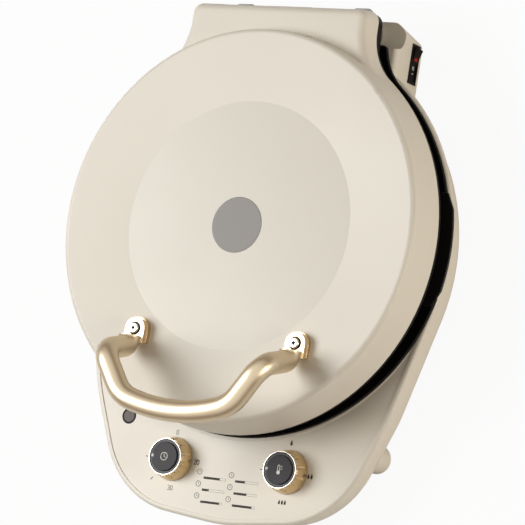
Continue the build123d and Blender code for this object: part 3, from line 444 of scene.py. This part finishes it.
# %% [markdown]
# The collar and the dials are black and glossy; the frame under the lid and the switch are duller.
# Black shows no tone, so what makes it real is a gloss that varies a little. The caps are dark
# grey, the timer and the terminal block inside are white, and the rear pads and the plug of the
# cord's hole are rubber.

# %% Black and grey plastics
BLACK = linear(12, 10, 10)
BLACK_HIGH = linear(18, 16, 15)
# Each finish here is painted lighter on its edges as a highlight.
gloss_black, _, _ = moulded_plastic(
    "gloss_black",
    BLACK,
    BLACK_HIGH,
    linear(46, 43, 42),
    (0.12, 0.2),
    depth=0.000002,
    radius=0.0004,
    Specular_IOR_Level=0.22,
)
frame_black, _, _ = moulded_plastic(
    "frame_black",
    BLACK,
    BLACK_HIGH,
    linear(40, 37, 36),
    (0.3, 0.42),
    grain=1800.0,
    radius=0.0004,
    Specular_IOR_Level=0.15,
)
cap_grey, _, _ = moulded_plastic(
    "cap_grey",
    linear(44, 40, 43),
    linear(50, 46, 49),
    linear(96, 92, 94),
    (0.4, 0.48),
    radius=0.0003,
    Specular_IOR_Level=0.2,
)
inner_white, _, _ = moulded_plastic(
    "inner_white",
    linear(206, 204, 196),
    linear(214, 212, 205),
    linear(226, 224, 218),
    (0.5, 0.62),
    grain=900.0,
)
rubber, _, _ = moulded_plastic(
    "rubber",
    linear(38, 37, 37),
    linear(47, 46, 45),
    linear(64, 62, 60),
    (0.78, 0.9),
    grain=1400.0,
    depth=0.00002,
)
print("finishes:", gloss_black.name, frame_black.name, cap_grey.name, inner_white.name, rubber.name)

# %% [markdown]
# The handle and the knob skirts are plastic plated in champagne gold: a metal surface, satin, with
# fine flakes in the lacquer over it.

# %% Champagne gold
def flaked_gold(name, low, high, gloss, flake_scale=3600.0):
    """Gold whose tone and gloss scatter from flake to flake."""
    material, tree, shader = start_material(name, Metallic=0.95)
    edges = place_group(tree, EDGES, Radius=0.0004)
    flakes = place_group(tree, FLAKES, Flakes=flake_scale)
    tone = tone_mix(tree, low, high, flakes.outputs["Scatter"])
    tree.links.new(tone, shader.inputs["Base Color"])
    rough = roughness_range(tree, flakes.outputs["Scatter"], *gloss)
    tree.links.new(rough, shader.inputs["Roughness"])
    add_bump(tree, shader, flakes.outputs["Scatter"], 0.0000008, edges.outputs["Normal"])
    return material


champagne = flaked_gold(
    "champagne_gold", linear(204, 176, 132), linear(222, 198, 158), (0.15, 0.21)
)
pale_gold = flaked_gold(
    "pale_champagne", linear(216, 199, 170), linear(222, 206, 179), (0.34, 0.4), 6000.0
)
print("finishes:", champagne.name, pale_gold.name)

# %% [markdown]
# Bright screws are polished and then lightly lined by the wheel. The heaters' sheaths, and the
# brackets and screws inside, are plain rolled steel with longer smears in their gloss.

# %% Polished and rolled metals
def lined_metal(name, low, high, gloss, lines_per_m, depth):
    """Metal with parallel lines as bump, and smears that move its tone and gloss."""
    material, tree, shader = start_material(name, Metallic=1.0)
    edges = place_group(tree, EDGES, Radius=0.0004)
    brushing = place_group(tree, BRUSHING, Lines=lines_per_m)
    tone = tone_mix(tree, low, high, brushing.outputs["Smear"])
    tree.links.new(tone, shader.inputs["Base Color"])
    rough = roughness_range(tree, brushing.outputs["Smear"], *gloss)
    tree.links.new(rough, shader.inputs["Roughness"])
    add_bump(tree, shader, brushing.outputs["Height"], depth, edges.outputs["Normal"])
    return material


polished = lined_metal(
    "polished_metal",
    linear(232, 226, 214),
    linear(244, 240, 231),
    (0.08, 0.16),
    900.0,
    0.000001,
)
steel = lined_metal(
    "rolled_steel",
    linear(168, 168, 168),
    linear(196, 196, 195),
    (0.3, 0.46),
    1500.0,
    0.000003,
)
sheath = lined_metal(
    "heater_sheath",
    linear(104, 98, 92),
    linear(132, 126, 118),
    (0.42, 0.58),
    1200.0,
    0.000004,
)
print("finishes:", polished.name, steel.name, sheath.name)

# %% [markdown]
# The rim of each knob is polished on its outer corner only. The flat inside it is blackened, so the
# bright line is thin. The mask is the distance from the knob's own axis. Places count without sign
# in it, because the two knobs stand at equal distances on both sides.

# %% Knob rims
RIM_BRIGHT_R = 14.05
RIM_SOFT = 0.1


def rim_finish():
    """Polished metal outside RIM_BRIGHT_R about each knob's axis, and blackened metal inside it."""
    material, tree, shader = start_material("blackened_rim", Metallic=1.0)
    edges = place_group(tree, EDGES, Radius=0.0002)
    brushing = place_group(tree, BRUSHING, Lines=900.0)
    smear = brushing.outputs["Smear"]
    place = add_node(tree, "ShaderNodeTexCoord")
    unsigned = add_node(tree, "ShaderNodeVectorMath", operation="ABSOLUTE")
    tree.links.new(place.outputs["Object"], unsigned.inputs[0])
    corner = distance_ramp(
        tree,
        unsigned.outputs["Vector"],
        KNOB_X,
        abs(KNOB_Y + PAN_Y),
        RIM_BRIGHT_R - RIM_SOFT,
        RIM_BRIGHT_R + RIM_SOFT,
    )
    dark = tone_mix(tree, linear(34, 30, 29), linear(46, 42, 40), smear)
    bright = tone_mix(tree, linear(222, 214, 202), linear(236, 230, 220), smear)
    tree.links.new(tone_mix(tree, dark, bright, corner), shader.inputs["Base Color"])
    tree.links.new(roughness_range(tree, smear, 0.12, 0.2), shader.inputs["Roughness"])
    add_bump(tree, shader, brushing.outputs["Height"], 0.000001, edges.outputs["Normal"])
    return material


knob_rim = rim_finish()
print("finish:", knob_rim.name)

# %% [markdown]
# The pan and the upper plate are cast aluminium under a black non-stick coating with pale mineral
# specks. Turning left very fine rings round the pan's axis, which show as a fan of soft light. The
# rim outside COATED_R has no specks and is glossier.

# %% Non-stick coating
COATED_R = 147.0


def nonstick_coating():
    """Speckled black: flakes for the specks, and a sine of the distance from the axis for rings."""
    material, tree, shader = start_material("nonstick_coating")
    edges = place_group(tree, EDGES, Radius=0.0006)
    specks = place_group(tree, FLAKES, Flakes=900.0, Share=0.93)
    grain_node = place_group(tree, GRAIN, Grain=1500.0, Patch=14.0)
    coated = radial_mask(tree, COATED_R, 0.5)
    speck_here = add_node(tree, "ShaderNodeMath", operation="MULTIPLY")
    tree.links.new(specks.outputs["Spark"], speck_here.inputs[0])
    tree.links.new(coated, speck_here.inputs[1])
    tone = tone_mix(tree, linear(26, 25, 25), linear(96, 95, 94), speck_here.outputs["Value"])
    matt = roughness_range(tree, grain_node.outputs["Tone"], 0.38, 0.5)
    glossy_rim = add_node(tree, "ShaderNodeMix", {"A": 0.2}, data_type="FLOAT")
    tree.links.new(coated, glossy_rim.inputs["Factor"])
    tree.links.new(matt, glossy_rim.inputs["B"])
    rough = glossy_rim.outputs["Result"]
    ring_kind = {"wave_type": "RINGS", "rings_direction": "Z"}
    rings = add_node(tree, "ShaderNodeTexWave", {"Scale": 260.0, "Distortion": 0.0}, **ring_kind)
    place = add_node(tree, "ShaderNodeTexCoord")
    centre = add_node(tree, "ShaderNodeMapping", {"Location": (0.0, -PAN_Y * MM, 0.0)})
    tree.links.new(place.outputs["Object"], centre.inputs["Vector"])
    tree.links.new(centre.outputs["Vector"], rings.inputs["Vector"])
    tree.links.new(tone, shader.inputs["Base Color"])
    tree.links.new(rough, shader.inputs["Roughness"])
    add_bump(tree, shader, rings.outputs["Fac"], 0.00001, edges.outputs["Normal"])
    return material


nonstick = nonstick_coating()
print("finish:", nonstick.name)

# %% [markdown]
# ## Give every solid its finish
# The record names a slot for each solid. Most solids take the finish of their slot, and a few named
# ones take a closer match, such as the lid with its greyer middle.

# %% Finishes of the solids
BY_SLOT = {
    "cream_plastic": cream,
    "black_plastic": gloss_black,
    "nonstick": nonstick,
    "champagne": champagne,
    "polished": polished,
    "cap_grey": cap_grey,
    "steel": steel,
    "inner_plastic": inner_white,
    "rubber": rubber,
}
BY_NODE = {
    "lid_shell": cream_lid,
    "lid_frame": frame_black,
    "switch_rocker": frame_black,
    "switch_bezel": frame_black,
    "handle_tube": pale_gold,
    "time_knob_rim": knob_rim,
    "temperature_knob_rim": knob_rim,
    "lower_element": sheath,
    "upper_element": sheath,
}
for part in frame["record"]["subparts"]:
    node_name = part["node"]
    finish = BY_NODE.get(node_name, BY_SLOT[part["material_slot"]])
    mesh = nodes[node_name].data
    mesh.materials.clear()
    mesh.materials.append(finish)

# %% [markdown]
# ## Light
# The photograph is lit from its left, high over the cooker's left side, by one large soft source. A
# weaker warm one stands low on the right, and a little warm light comes from all round. To the
# camera the surroundings are white. In a mirror they're brown at the horizon and white overhead,
# which gives metal its dark flanks.

# %% Studio
AMBIENT = 0.23
AMBIENT_TONE = (1.0, 0.88, 0.75, 1.0)
KEY_PLACE = (-1.4, -0.05, 1.7)
KEY_SIZE = 1.2
KEY_POWER = 36.5
KEY_TONE = (0.97, 0.99, 1.0)
FILL_PLACE = (1.9, -0.1, 0.4)
FILL_SIZE = 0.8
FILL_POWER = 15.0
FILL_TONE = (1.0, 0.93, 0.82)
COOKER_MIDDLE = Vector((0.0, 0.0, 0.05))
WHITE = (1.0, 1.0, 1.0, 1.0)
HORIZON = (0.22, 0.145, 0.085, 1.0)
OVERHEAD = (1.0, 0.99, 0.97, 1.0)


def white_for_eye(tree, dim_shader, bright_shader):
    """The bright shader for camera rays, the dim one for the rest."""
    path = add_node(tree, "ShaderNodeLightPath")
    mix = add_node(tree, "ShaderNodeMixShader")
    tree.links.new(path.outputs["Is Camera Ray"], mix.inputs["Fac"])
    tree.links.new(dim_shader, mix.inputs[1])
    tree.links.new(bright_shader, mix.inputs[2])
    return mix.outputs["Shader"]


def sky_for_gloss(tree):
    """Sky that mirrors show: brown at the horizon and white overhead, by the direction's height."""
    place = add_node(tree, "ShaderNodeTexCoord")
    height = add_node(tree, "ShaderNodeSeparateXYZ")
    rise = ramp_node(tree, 0.1, 0.8, interpolation_type="SMOOTHSTEP")
    sky = add_node(tree, "ShaderNodeBackground", {"Strength": 1.0})
    tree.links.new(place.outputs["Generated"], height.inputs[0])
    tree.links.new(height.outputs["Z"], rise.inputs["Value"])
    tone = tone_mix(tree, HORIZON, OVERHEAD, rise.outputs["Result"])
    tree.links.new(tone, sky.inputs["Color"])
    return sky.outputs["Background"]


def light_world():
    """A sky that is dim and warm to diffuse rays, graded to mirrors and white to the eye."""
    world = bpy.data.worlds.new("studio_world")
    world.use_nodes = True
    tree = world.node_tree
    tree.nodes.clear()
    dim = add_node(tree, "ShaderNodeBackground", {"Color": AMBIENT_TONE, "Strength": AMBIENT})
    bright = add_node(tree, "ShaderNodeBackground", {"Color": WHITE, "Strength": 1.0})
    surface = add_node(tree, "ShaderNodeOutputWorld")
    path = add_node(tree, "ShaderNodeLightPath")
    hidden = add_node(tree, "ShaderNodeMixShader")
    tree.links.new(path.outputs["Is Glossy Ray"], hidden.inputs["Fac"])
    tree.links.new(dim.outputs["Background"], hidden.inputs[1])
    tree.links.new(sky_for_gloss(tree), hidden.inputs[2])
    shown = white_for_eye(tree, hidden.outputs["Shader"], bright.outputs["Background"])
    tree.links.new(shown, surface.inputs["Surface"])
    bpy.context.scene.world = world


def add_softbox(name, place, size, power, tint):
    """Square area lamp at a place, turned to face the middle of the cooker."""
    lamp = bpy.data.lights.new(name, "AREA")
    lamp.shape = "SQUARE"
    lamp.size = size
    lamp.energy = power
    lamp.color = tint
    holder = bpy.data.objects.new(name, lamp)
    holder.location = place
    aim = COOKER_MIDDLE - Vector(place)
    holder.rotation_euler = aim.to_track_quat("-Z", "Y").to_euler()
    bpy.context.scene.collection.objects.link(holder)
    return holder


light_world()
key = add_softbox("key_softbox", KEY_PLACE, KEY_SIZE, KEY_POWER, KEY_TONE)
add_softbox("fill_softbox", FILL_PLACE, FILL_SIZE, FILL_POWER, FILL_TONE)
print("key lamp at", tuple(round(v, 2) for v in key.location))

# %% [markdown]
# The table is a white sheet. To the eye most of it is plain white, and a part of it is lit like a
# real surface, so that it keeps a soft shadow under the cooker.

# %% Table
EVEN_WHITE = 0.93
SHEET_LOW = (0.84, 0.84, 0.84, 1.0)
SHEET_HIGH = (0.86, 0.86, 0.86, 1.0)
TABLE_HALF_M = 3.0
TABLE_DROP_M = 0.0001


def table_finish():
    """White diffuse sheet, of which the eye sees mostly an even white."""
    material = bpy.data.materials.new("white_table")
    material.use_nodes = True
    tree = material.node_tree
    tree.nodes.clear()
    speck = place_group(tree, GRAIN, Grain=500.0, Patch=2.0)
    sheet_tone = tone_mix(tree, SHEET_LOW, SHEET_HIGH, speck.outputs["Tone"])
    lit = add_node(tree, "ShaderNodeBsdfDiffuse")
    tree.links.new(sheet_tone, lit.inputs["Color"])
    glow = add_node(tree, "ShaderNodeEmission", {"Color": WHITE, "Strength": 1.0})
    seen = add_node(tree, "ShaderNodeMixShader", {"Fac": EVEN_WHITE})
    tree.links.new(lit.outputs["BSDF"], seen.inputs[1])
    tree.links.new(glow.outputs["Emission"], seen.inputs[2])
    surface = add_node(tree, "ShaderNodeOutputMaterial")
    shown = white_for_eye(tree, lit.outputs["BSDF"], seen.outputs["Shader"])
    tree.links.new(shown, surface.inputs["Surface"])
    return material


def add_table(half_width):
    """Level grid of points a tenth of a millimetre under the feet."""
    steps = np.linspace(-half_width, half_width, 3)
    across, along = np.meshgrid(steps, steps, indexing="ij")
    points = np.stack([across, along, np.full_like(across, -TABLE_DROP_M)], axis=-1)
    return grid_piece("white_table", points, table_finish())


bpy.context.scene.view_settings.view_transform = "Standard"
table = add_table(TABLE_HALF_M)
print("table:", len(table.data.polygons), "squares")

# %% [markdown]
# ## Printed marks
# The panel is screen printed: numbers and drops round the two knobs, a small chart of bars between
# them, and a plain roundel on the left. Ink is some hundredths of a millimetre high, so each mark
# is a thin plate that stands INK_T out of the plastic and goes as deep into it. Most marks are
# strokes: a line with a width.

# %% Ink
def ink_finish(name, red, green, blue):
    """Matt screen print whose tone is broken a little by the grain under it."""
    low = linear(red, green, blue)
    high = linear(red + 8, green + 8, blue + 8)
    ink, _, _ = moulded_plastic(
        name,
        low,
        high,
        high,
        (0.5, 0.6),
        grain=3000.0,
        depth=0.000004,
        radius=0.0001,
        Specular_IOR_Level=0.15,
    )
    return ink


dark_ink = ink_finish("dark_ink", 66, 58, 54)
black_ink_and_shade = ink_finish("black_ink_and_shade", 22, 17, 18)
pale_ink = ink_finish("pale_ink", 161, 158, 156)
mid_ink = ink_finish("mid_ink", 116, 108, 106)
white_ink = ink_finish("white_ink", 232, 230, 226)
red_ink = ink_finish("red_ink", 176, 30, 22)
print("inks:", dark_ink.name, pale_ink.name, mid_ink.name, white_ink.name, red_ink.name)

# %% Flat marks
INK_T = 0.06


def stroke(line, width, closed=False):
    """Ribbon along a line (n, 2): each point is moved half the width to both sides of the mean
    direction of its two runs. Gives points and faces."""
    line = np.asarray(line, float)
    ahead = np.roll(line, -1, axis=0) - line
    behind = line - np.roll(line, 1, axis=0)
    if not closed:
        ahead[-1] = behind[-1]
        behind[0] = ahead[0]
    way = ahead / np.linalg.norm(ahead, axis=1, keepdims=True)
    way = way + behind / np.linalg.norm(behind, axis=1, keepdims=True)
    way = way / np.linalg.norm(way, axis=1, keepdims=True)
    side = np.stack([-way[:, 1], way[:, 0]], axis=1) * width / 2
    points = np.stack([line + side, line - side], axis=1)
    return points.reshape(-1, 2), grid_faces(len(line), 2, wrap_rows=closed)


def blob(outline):
    """One flat face round an outline (n, 2)."""
    outline = np.asarray(outline, float)
    return outline, [np.arange(len(outline))]


def arc(centre, radius, start, end, steps):
    """Points on a circle from one angle to another, in degrees."""
    turn = np.radians(np.linspace(start, end, steps))
    return np.stack([centre[0] + radius * np.cos(turn), centre[1] + radius * np.sin(turn)], axis=1)


def circle(centre, radius, steps=32):
    """Points once round a circle, without the last one that repeats the first."""
    return arc(centre, radius, 0, 360, steps + 1)[:-1]


def drop(centre, height):
    """Outline of a drop: a circle whose top is drawn out to a point."""
    turn = np.radians(np.linspace(0, 360, 33)[:-1])
    wide = 0.3 * height
    across = wide * np.sin(turn) * np.sin(turn / 2)
    up = -0.5 * height * np.cos(turn)
    return np.stack([centre[0] + across, centre[1] - up], axis=1)


def bar(x, y, length, height):
    """Outline of a plain rectangle from its left middle."""
    half = height / 2
    return np.array([(x, y - half), (x + length, y - half), (x + length, y + half), (x, y + half)])


def join_shapes(shapes):
    """Points and faces of several flat shapes as one set."""
    flat = np.concatenate([points for points, _ in shapes])
    starts = np.cumsum([0] + [len(points) for points, _ in shapes])
    faces = []
    for (_, squares), start in zip(shapes, starts):
        faces += [[int(corner + start) for corner in square] for square in squares]
    return flat, faces


def ink_piece(name, shapes, z, finish, body):
    """Marks on a level plane (millimetres from the pan's axis) as one thin printed piece."""
    flat, faces = join_shapes(shapes)
    height = np.full(len(flat), z + INK_T)
    place = np.stack([flat[:, 0], flat[:, 1] + PAN_Y, height], axis=1) * MM
    piece = mesh_piece(name, place, faces, finish, smooth=False)
    thicken(piece, 2 * INK_T, -1.0)
    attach(piece, body)
    return piece


DIGIT_PATHS = {
    "0": [arc((0.5, 1.5), 0.5, 0, 180, 9), arc((0.5, 0.5), 0.5, 180, 360, 9)],
    "2": [arc((0.5, 1.5), 0.5, 160, -35, 10), [(0.0, 0.0)], [(1.0, 0.0)]],
    "3": [arc((0.5, 1.5), 0.46, 150, -80, 10), arc((0.5, 0.52), 0.52, 80, -150, 10)],
}


def digits(text, centre, height, width):
    """Strokes of a number. Each figure is drawn in a box one wide and two high, then scaled."""
    size = height / 2
    pitch = 1.45 * size
    shapes = []
    for index, figure in enumerate(text):
        path = np.concatenate([np.asarray(run, float) for run in DIGIT_PATHS[figure]])
        start = centre[0] - pitch * len(text) / 2 + pitch * index + (pitch - size) / 2
        line = path * size + np.array([start, centre[1] - size])
        shapes.append(stroke(line, width, closed=figure == "0"))
    return shapes


print("figures that can be drawn:", sorted(DIGIT_PATHS))

# %% Chart on the panel
CHART_FILLS = ((14.8, 8.7), (6.2, 11.6), (17.2, 17.6))
CHART_FRAMES = ((20.2, 20.6), (20.0, 20.4), (19.4, 20.2))
CHART_X = (-22.0, 6.8)
CHART_Y = -193.6
CHART_ROW_STEP = 9.45
CHART_SLANT = 0.2
FILL_HEIGHT = 1.5
FRAME_HEIGHT = 1.7
FRAME_LINE = 0.22
CLOCK_R = 2.1
CLOCK_LINE = 0.4
HAND_LINE = 0.35


def chart():
    """Filled bars, their frames and small clocks, three rows by two columns."""
    shapes = []
    for row in range(3):
        for column in range(2):
            left = CHART_X[column] + CHART_SLANT * row
            middle = CHART_Y - CHART_ROW_STEP * row
            filled = bar(left, middle, CHART_FILLS[row][column], FILL_HEIGHT)
            outline = bar(left, middle, CHART_FRAMES[row][column], FRAME_HEIGHT)
            clock = (left - 4.2, middle + 4.4)
            hands = [(clock[0], middle + 5.6), clock, (left - 3.4, middle + 4.0)]
            shapes.append(blob(filled))
            shapes.append(stroke(outline, FRAME_LINE, closed=True))
            shapes.append(stroke(circle(clock, CLOCK_R), CLOCK_LINE, closed=True))
            shapes.append(stroke(hands, HAND_LINE))
    return shapes


print("bars in the chart:", 2 * len(CHART_FILLS))

# %% All marks of the panel
THIN = 0.4
BOLD = 0.7
FIGURE_HEIGHT = 3.6
FIGURES = (
    ("0", (-KNOB_X, -160.7), THIN),
    ("20", (-30.6, -182.3), BOLD),
    ("30", (-51.2, -204.6), THIN),
)
TICK_LINE = 0.6
TICKS = (
    [(-77.6, -182.0), (-74.6, -182.0)],
    [(-70.1, -199.8), (-68.0, -197.7)],
    [(27.0, -182.0), (30.0, -182.0)],
)
DROPS = (
    (51.4, -159.1, 4.4),
    (70.6, -183.2, 4.0),
    (73.4, -183.2, 4.0),
    (48.3, -205.4, 3.6),
    (50.9, -205.4, 3.6),
    (53.5, -205.4, 3.6),
)
ROUNDEL = (-99.0, -151.9)
ROUNDEL_R = 4.8
RING_R = 5.6
RING_LINE = 1.6
ROUND_STEPS = 48

marks = []
for text, centre, width in FIGURES:
    marks += digits(text, centre, FIGURE_HEIGHT, width)
marks += [stroke(line, TICK_LINE) for line in TICKS]
marks += [blob(drop((x, y), height)) for x, y, height in DROPS]
marks += chart()
ink_piece("panel_marks", marks, PANEL_Z, dark_ink, "base")
roundel = [blob(circle(ROUNDEL, ROUNDEL_R, ROUND_STEPS))]
ink_piece("panel_roundel", roundel, PANEL_Z, mid_ink, "base")
ring = [stroke(circle(ROUNDEL, RING_R, ROUND_STEPS), RING_LINE, closed=True)]
ink_piece("roundel_ring", ring, PANEL_Z, black_ink_and_shade, "base")
print("marks on the panel:", len(marks) + len(roundel) + len(ring))

# %% [markdown]
# The middle of the lid carries one plain grey printed disc. It follows the dome: its height over
# the rim of the dish is that of the sphere through the crease and the middle.

# %% Grey disc on the lid
DISC_R = 22.0


def lid_disc(radius, rings=24, steps=96):
    """Points at radius r and angle a on the dome: z = top - (R - sqrt(R*R - r*r))."""
    ball = (DISH_R**2 + CROWN**2) / (2 * CROWN)
    radii = np.linspace(0, radius, rings)
    angles = np.linspace(0, 2 * np.pi, steps, endpoint=False)
    r, a = np.meshgrid(radii, angles, indexing="ij")
    z = LID_CENTRE_Z + INK_T - (ball - np.sqrt(ball**2 - r**2))
    points = np.stack([r * np.cos(a), r * np.sin(a) + PAN_Y, z], axis=-1) * MM
    piece = grid_piece("lid_disc", points, pale_ink, wrap_columns=True)
    thicken(piece, 2 * INK_T, -1.0)
    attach(piece, "lid")
    return piece


disc = lid_disc(DISC_R)
print("disc:", len(disc.data.polygons), "squares")

# %% [markdown]
# Each knob points with a white dot that lies in the notch of its cap. The caps carry a small plain
# sign of what they set: a clock for time, and a thermometer for temperature.

# %% Marks on the knobs
DIAL_TOP_Z = 55.8
CAP_TOP_Z = 57.2
NOTCH_X = 11.5
POINTER_R = 1.05


def pointer(knob_x, body):
    """White dot on the dial, in the middle of the cap's notch."""
    shapes = [blob(circle((knob_x - NOTCH_X, KNOB_Y), POINTER_R))]
    return ink_piece(f"{body}_pointer", shapes, DIAL_TOP_Z, white_ink, body)


def clock_sign(x, y):
    """Ring with two hands."""
    hands = [(x, y + 2.0), (x, y), (x + 1.5, y - 0.9)]
    return [stroke(circle((x, y), 3.0), 0.5, closed=True), stroke(hands, 0.5)]


def thermometer_sign(x, y):
    """Tube that is open at the bulb, the bulb, and three short degree lines beside it."""
    top = arc((x, y + 2.6), 0.9, 180, 0, 9)
    tube = np.concatenate([[(x - 0.9, y - 1.3)], top, [(x + 0.9, y - 1.3)]])
    lines = [[(x + 1.9, y + step), (x + 3.1, y + step)] for step in (0.2, 1.5, 2.8)]
    degrees = [stroke(line, 0.35) for line in lines]
    return [stroke(tube, 0.45), blob(circle((x, y - 2.3), 1.5)), *degrees]


clock = clock_sign(-KNOB_X, KNOB_Y)
thermometer = thermometer_sign(KNOB_X, KNOB_Y)
knob_marks = [
    pointer(-KNOB_X, "time_knob"),
    pointer(KNOB_X, "temperature_knob"),
    ink_piece("clock_sign", clock, CAP_TOP_Z, white_ink, "time_knob"),
    ink_piece("thermometer_sign", thermometer, CAP_TOP_Z, white_ink, "temperature_knob"),
]
print("marks on the knobs:", len(knob_marks))

# %% [markdown]
# The handle's two screws stand on the lugs, and each head has a cross recess. The photograph shows
# shade round each head and in its cross, so a dark ring lies round the head and a dark spot in the
# middle of the cross.

# %% Shade at the handle's screws
SCREW_X = 72.1
SCREW_Y = -88.5
SCREW_HEAD_R = 4.2
SCREW_RING_LINE = 1.2
RECESS_R = 1.5
LUG_TOP_Z = 97.5
HEAD_TOP_Z = 99.9


def screw_ring(x):
    """Flat ring of painted shade on the lug, just outside the screw's head."""
    return stroke(circle((x, SCREW_Y), SCREW_HEAD_R + 0.5), SCREW_RING_LINE, closed=True)


def screw_recess(x):
    """Round mark of painted shade in the middle of the head, where its cross recess is deepest."""
    return blob(circle((x, SCREW_Y), RECESS_R))


ring_shapes = [screw_ring(-SCREW_X), screw_ring(SCREW_X)]
recess_shapes = [screw_recess(-SCREW_X), screw_recess(SCREW_X)]
# Painted shade, laid as thin plates in the same way as the ink.
screw_shade_rings = ink_piece("screw_shade_rings", ring_shapes, LUG_TOP_Z, black_ink_and_shade, "lid")
screw_recess_shades = ink_piece("screw_recess_shades", recess_shapes, HEAD_TOP_Z, black_ink_and_shade, "lid")
print("shade at the screws:", screw_shade_rings.name, screw_recess_shades.name)

# %% [markdown]
# The rocker is a shallow V whose two flats lean by the same angle. Its marks are drawn flat, with
# one axis along the rocker and one up, and are then laid on the flat that they belong to.

# %% Marks on the rocker
ROCKER_PLACE = (90.0, 149.3, 13.9)
ROCKER_LEAN = radians(9.5)
ROCKER_RISE = 1.2


def rocker_mark(name, shapes, finish):
    """Marks drawn as (along, up), laid on the V and turned with the rocker about its pivot."""
    flat, faces = join_shapes(shapes)
    along, up = flat.T
    out = ROCKER_RISE + np.abs(along) * np.tan(ROCKER_LEAN) + INK_T
    x = ROCKER_PLACE[0] + out * np.cos(ROCKER_LEAN) + along * np.sin(ROCKER_LEAN)
    y = ROCKER_PLACE[1] + PAN_Y - out * np.sin(ROCKER_LEAN) + along * np.cos(ROCKER_LEAN)
    place = np.stack([x, y, ROCKER_PLACE[2] + up], axis=1) * MM
    piece = mesh_piece(name, place, faces, finish, smooth=False)
    thicken(piece, 2 * INK_T, 0.0)
    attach(piece, "rocker")
    return piece


rocker_red = rocker_mark("rocker_red", [blob(bar(3.1, 0.0, 2.4, 4.6))], red_ink)
rocker_signs = rocker_mark(
    "rocker_signs",
    [stroke(circle((-2.7, 0.0), 1.2), 0.5, closed=True), stroke([(-7.1, -1.3), (-7.1, 1.3)], 0.5)],
    white_ink,
)
print("marks on the rocker:", rocker_red.name, rocker_signs.name)

# %% [markdown]
# Where the deck meets the tray, the step between them lies in shade, and the photograph shows it
# as a thin brown line, so a thin band of painted shade is laid there. The casing is drawn round
# five circles, so in each direction its outline is the farthest point of the circle that reaches
# farthest.

# %% Seam line
TRAY_CIRCLES = np.array([
    (0.0, 0.0, 157.2),
    (0.0, -8.8, 161.6),
    (0.0, -87.6, 140.4),
    (-43.5, -145.6, 78.0),
    (43.5, -145.6, 78.0),
])
HOUSING_X = 92.5
HOUSING_FRONT = 104.0
SEAM_INSET = 0.42
SEAM_LOW_Z = 39.3
SEAM_HIGH_Z = 39.95
SEAM_T = 0.1


def seam_band(inset, low_z, high_z, steps=720):
    """Upright band round the tray, open where the hinge housing stands."""
    turn = np.radians(90) + np.linspace(0, 2 * np.pi, steps, endpoint=False)
    way = np.stack([np.cos(turn), np.sin(turn)], axis=1)
    reach = way @ TRAY_CIRCLES[:, :2].T + TRAY_CIRCLES[:, 2]
    best = TRAY_CIRCLES[np.argmax(reach, axis=1)]
    line = best[:, :2] + (best[:, 2:] - inset) * way
    free = (np.abs(line[:, 0]) > HOUSING_X) | (line[:, 1] < HOUSING_FRONT)
    across, along = line[free].T
    levels = [np.full(len(across), z) for z in (low_z, high_z)]
    return np.stack([np.stack([across, along + PAN_Y, z], axis=1) for z in levels]) * MM


# Painted shade: the band's brown stands for shade in the step.
seam_shade_finish = ink_finish("seam_shade", 104, 88, 72)
seam_points = seam_band(SEAM_INSET, SEAM_LOW_Z, SEAM_HIGH_Z)
seam_line = grid_piece("seam_line", seam_points, seam_shade_finish)
thicken(seam_line, SEAM_T, 0.0)
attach(seam_line, "base")
print("seam line:", len(seam_line.data.polygons), "squares")

# %% The end
print("the scene is built")
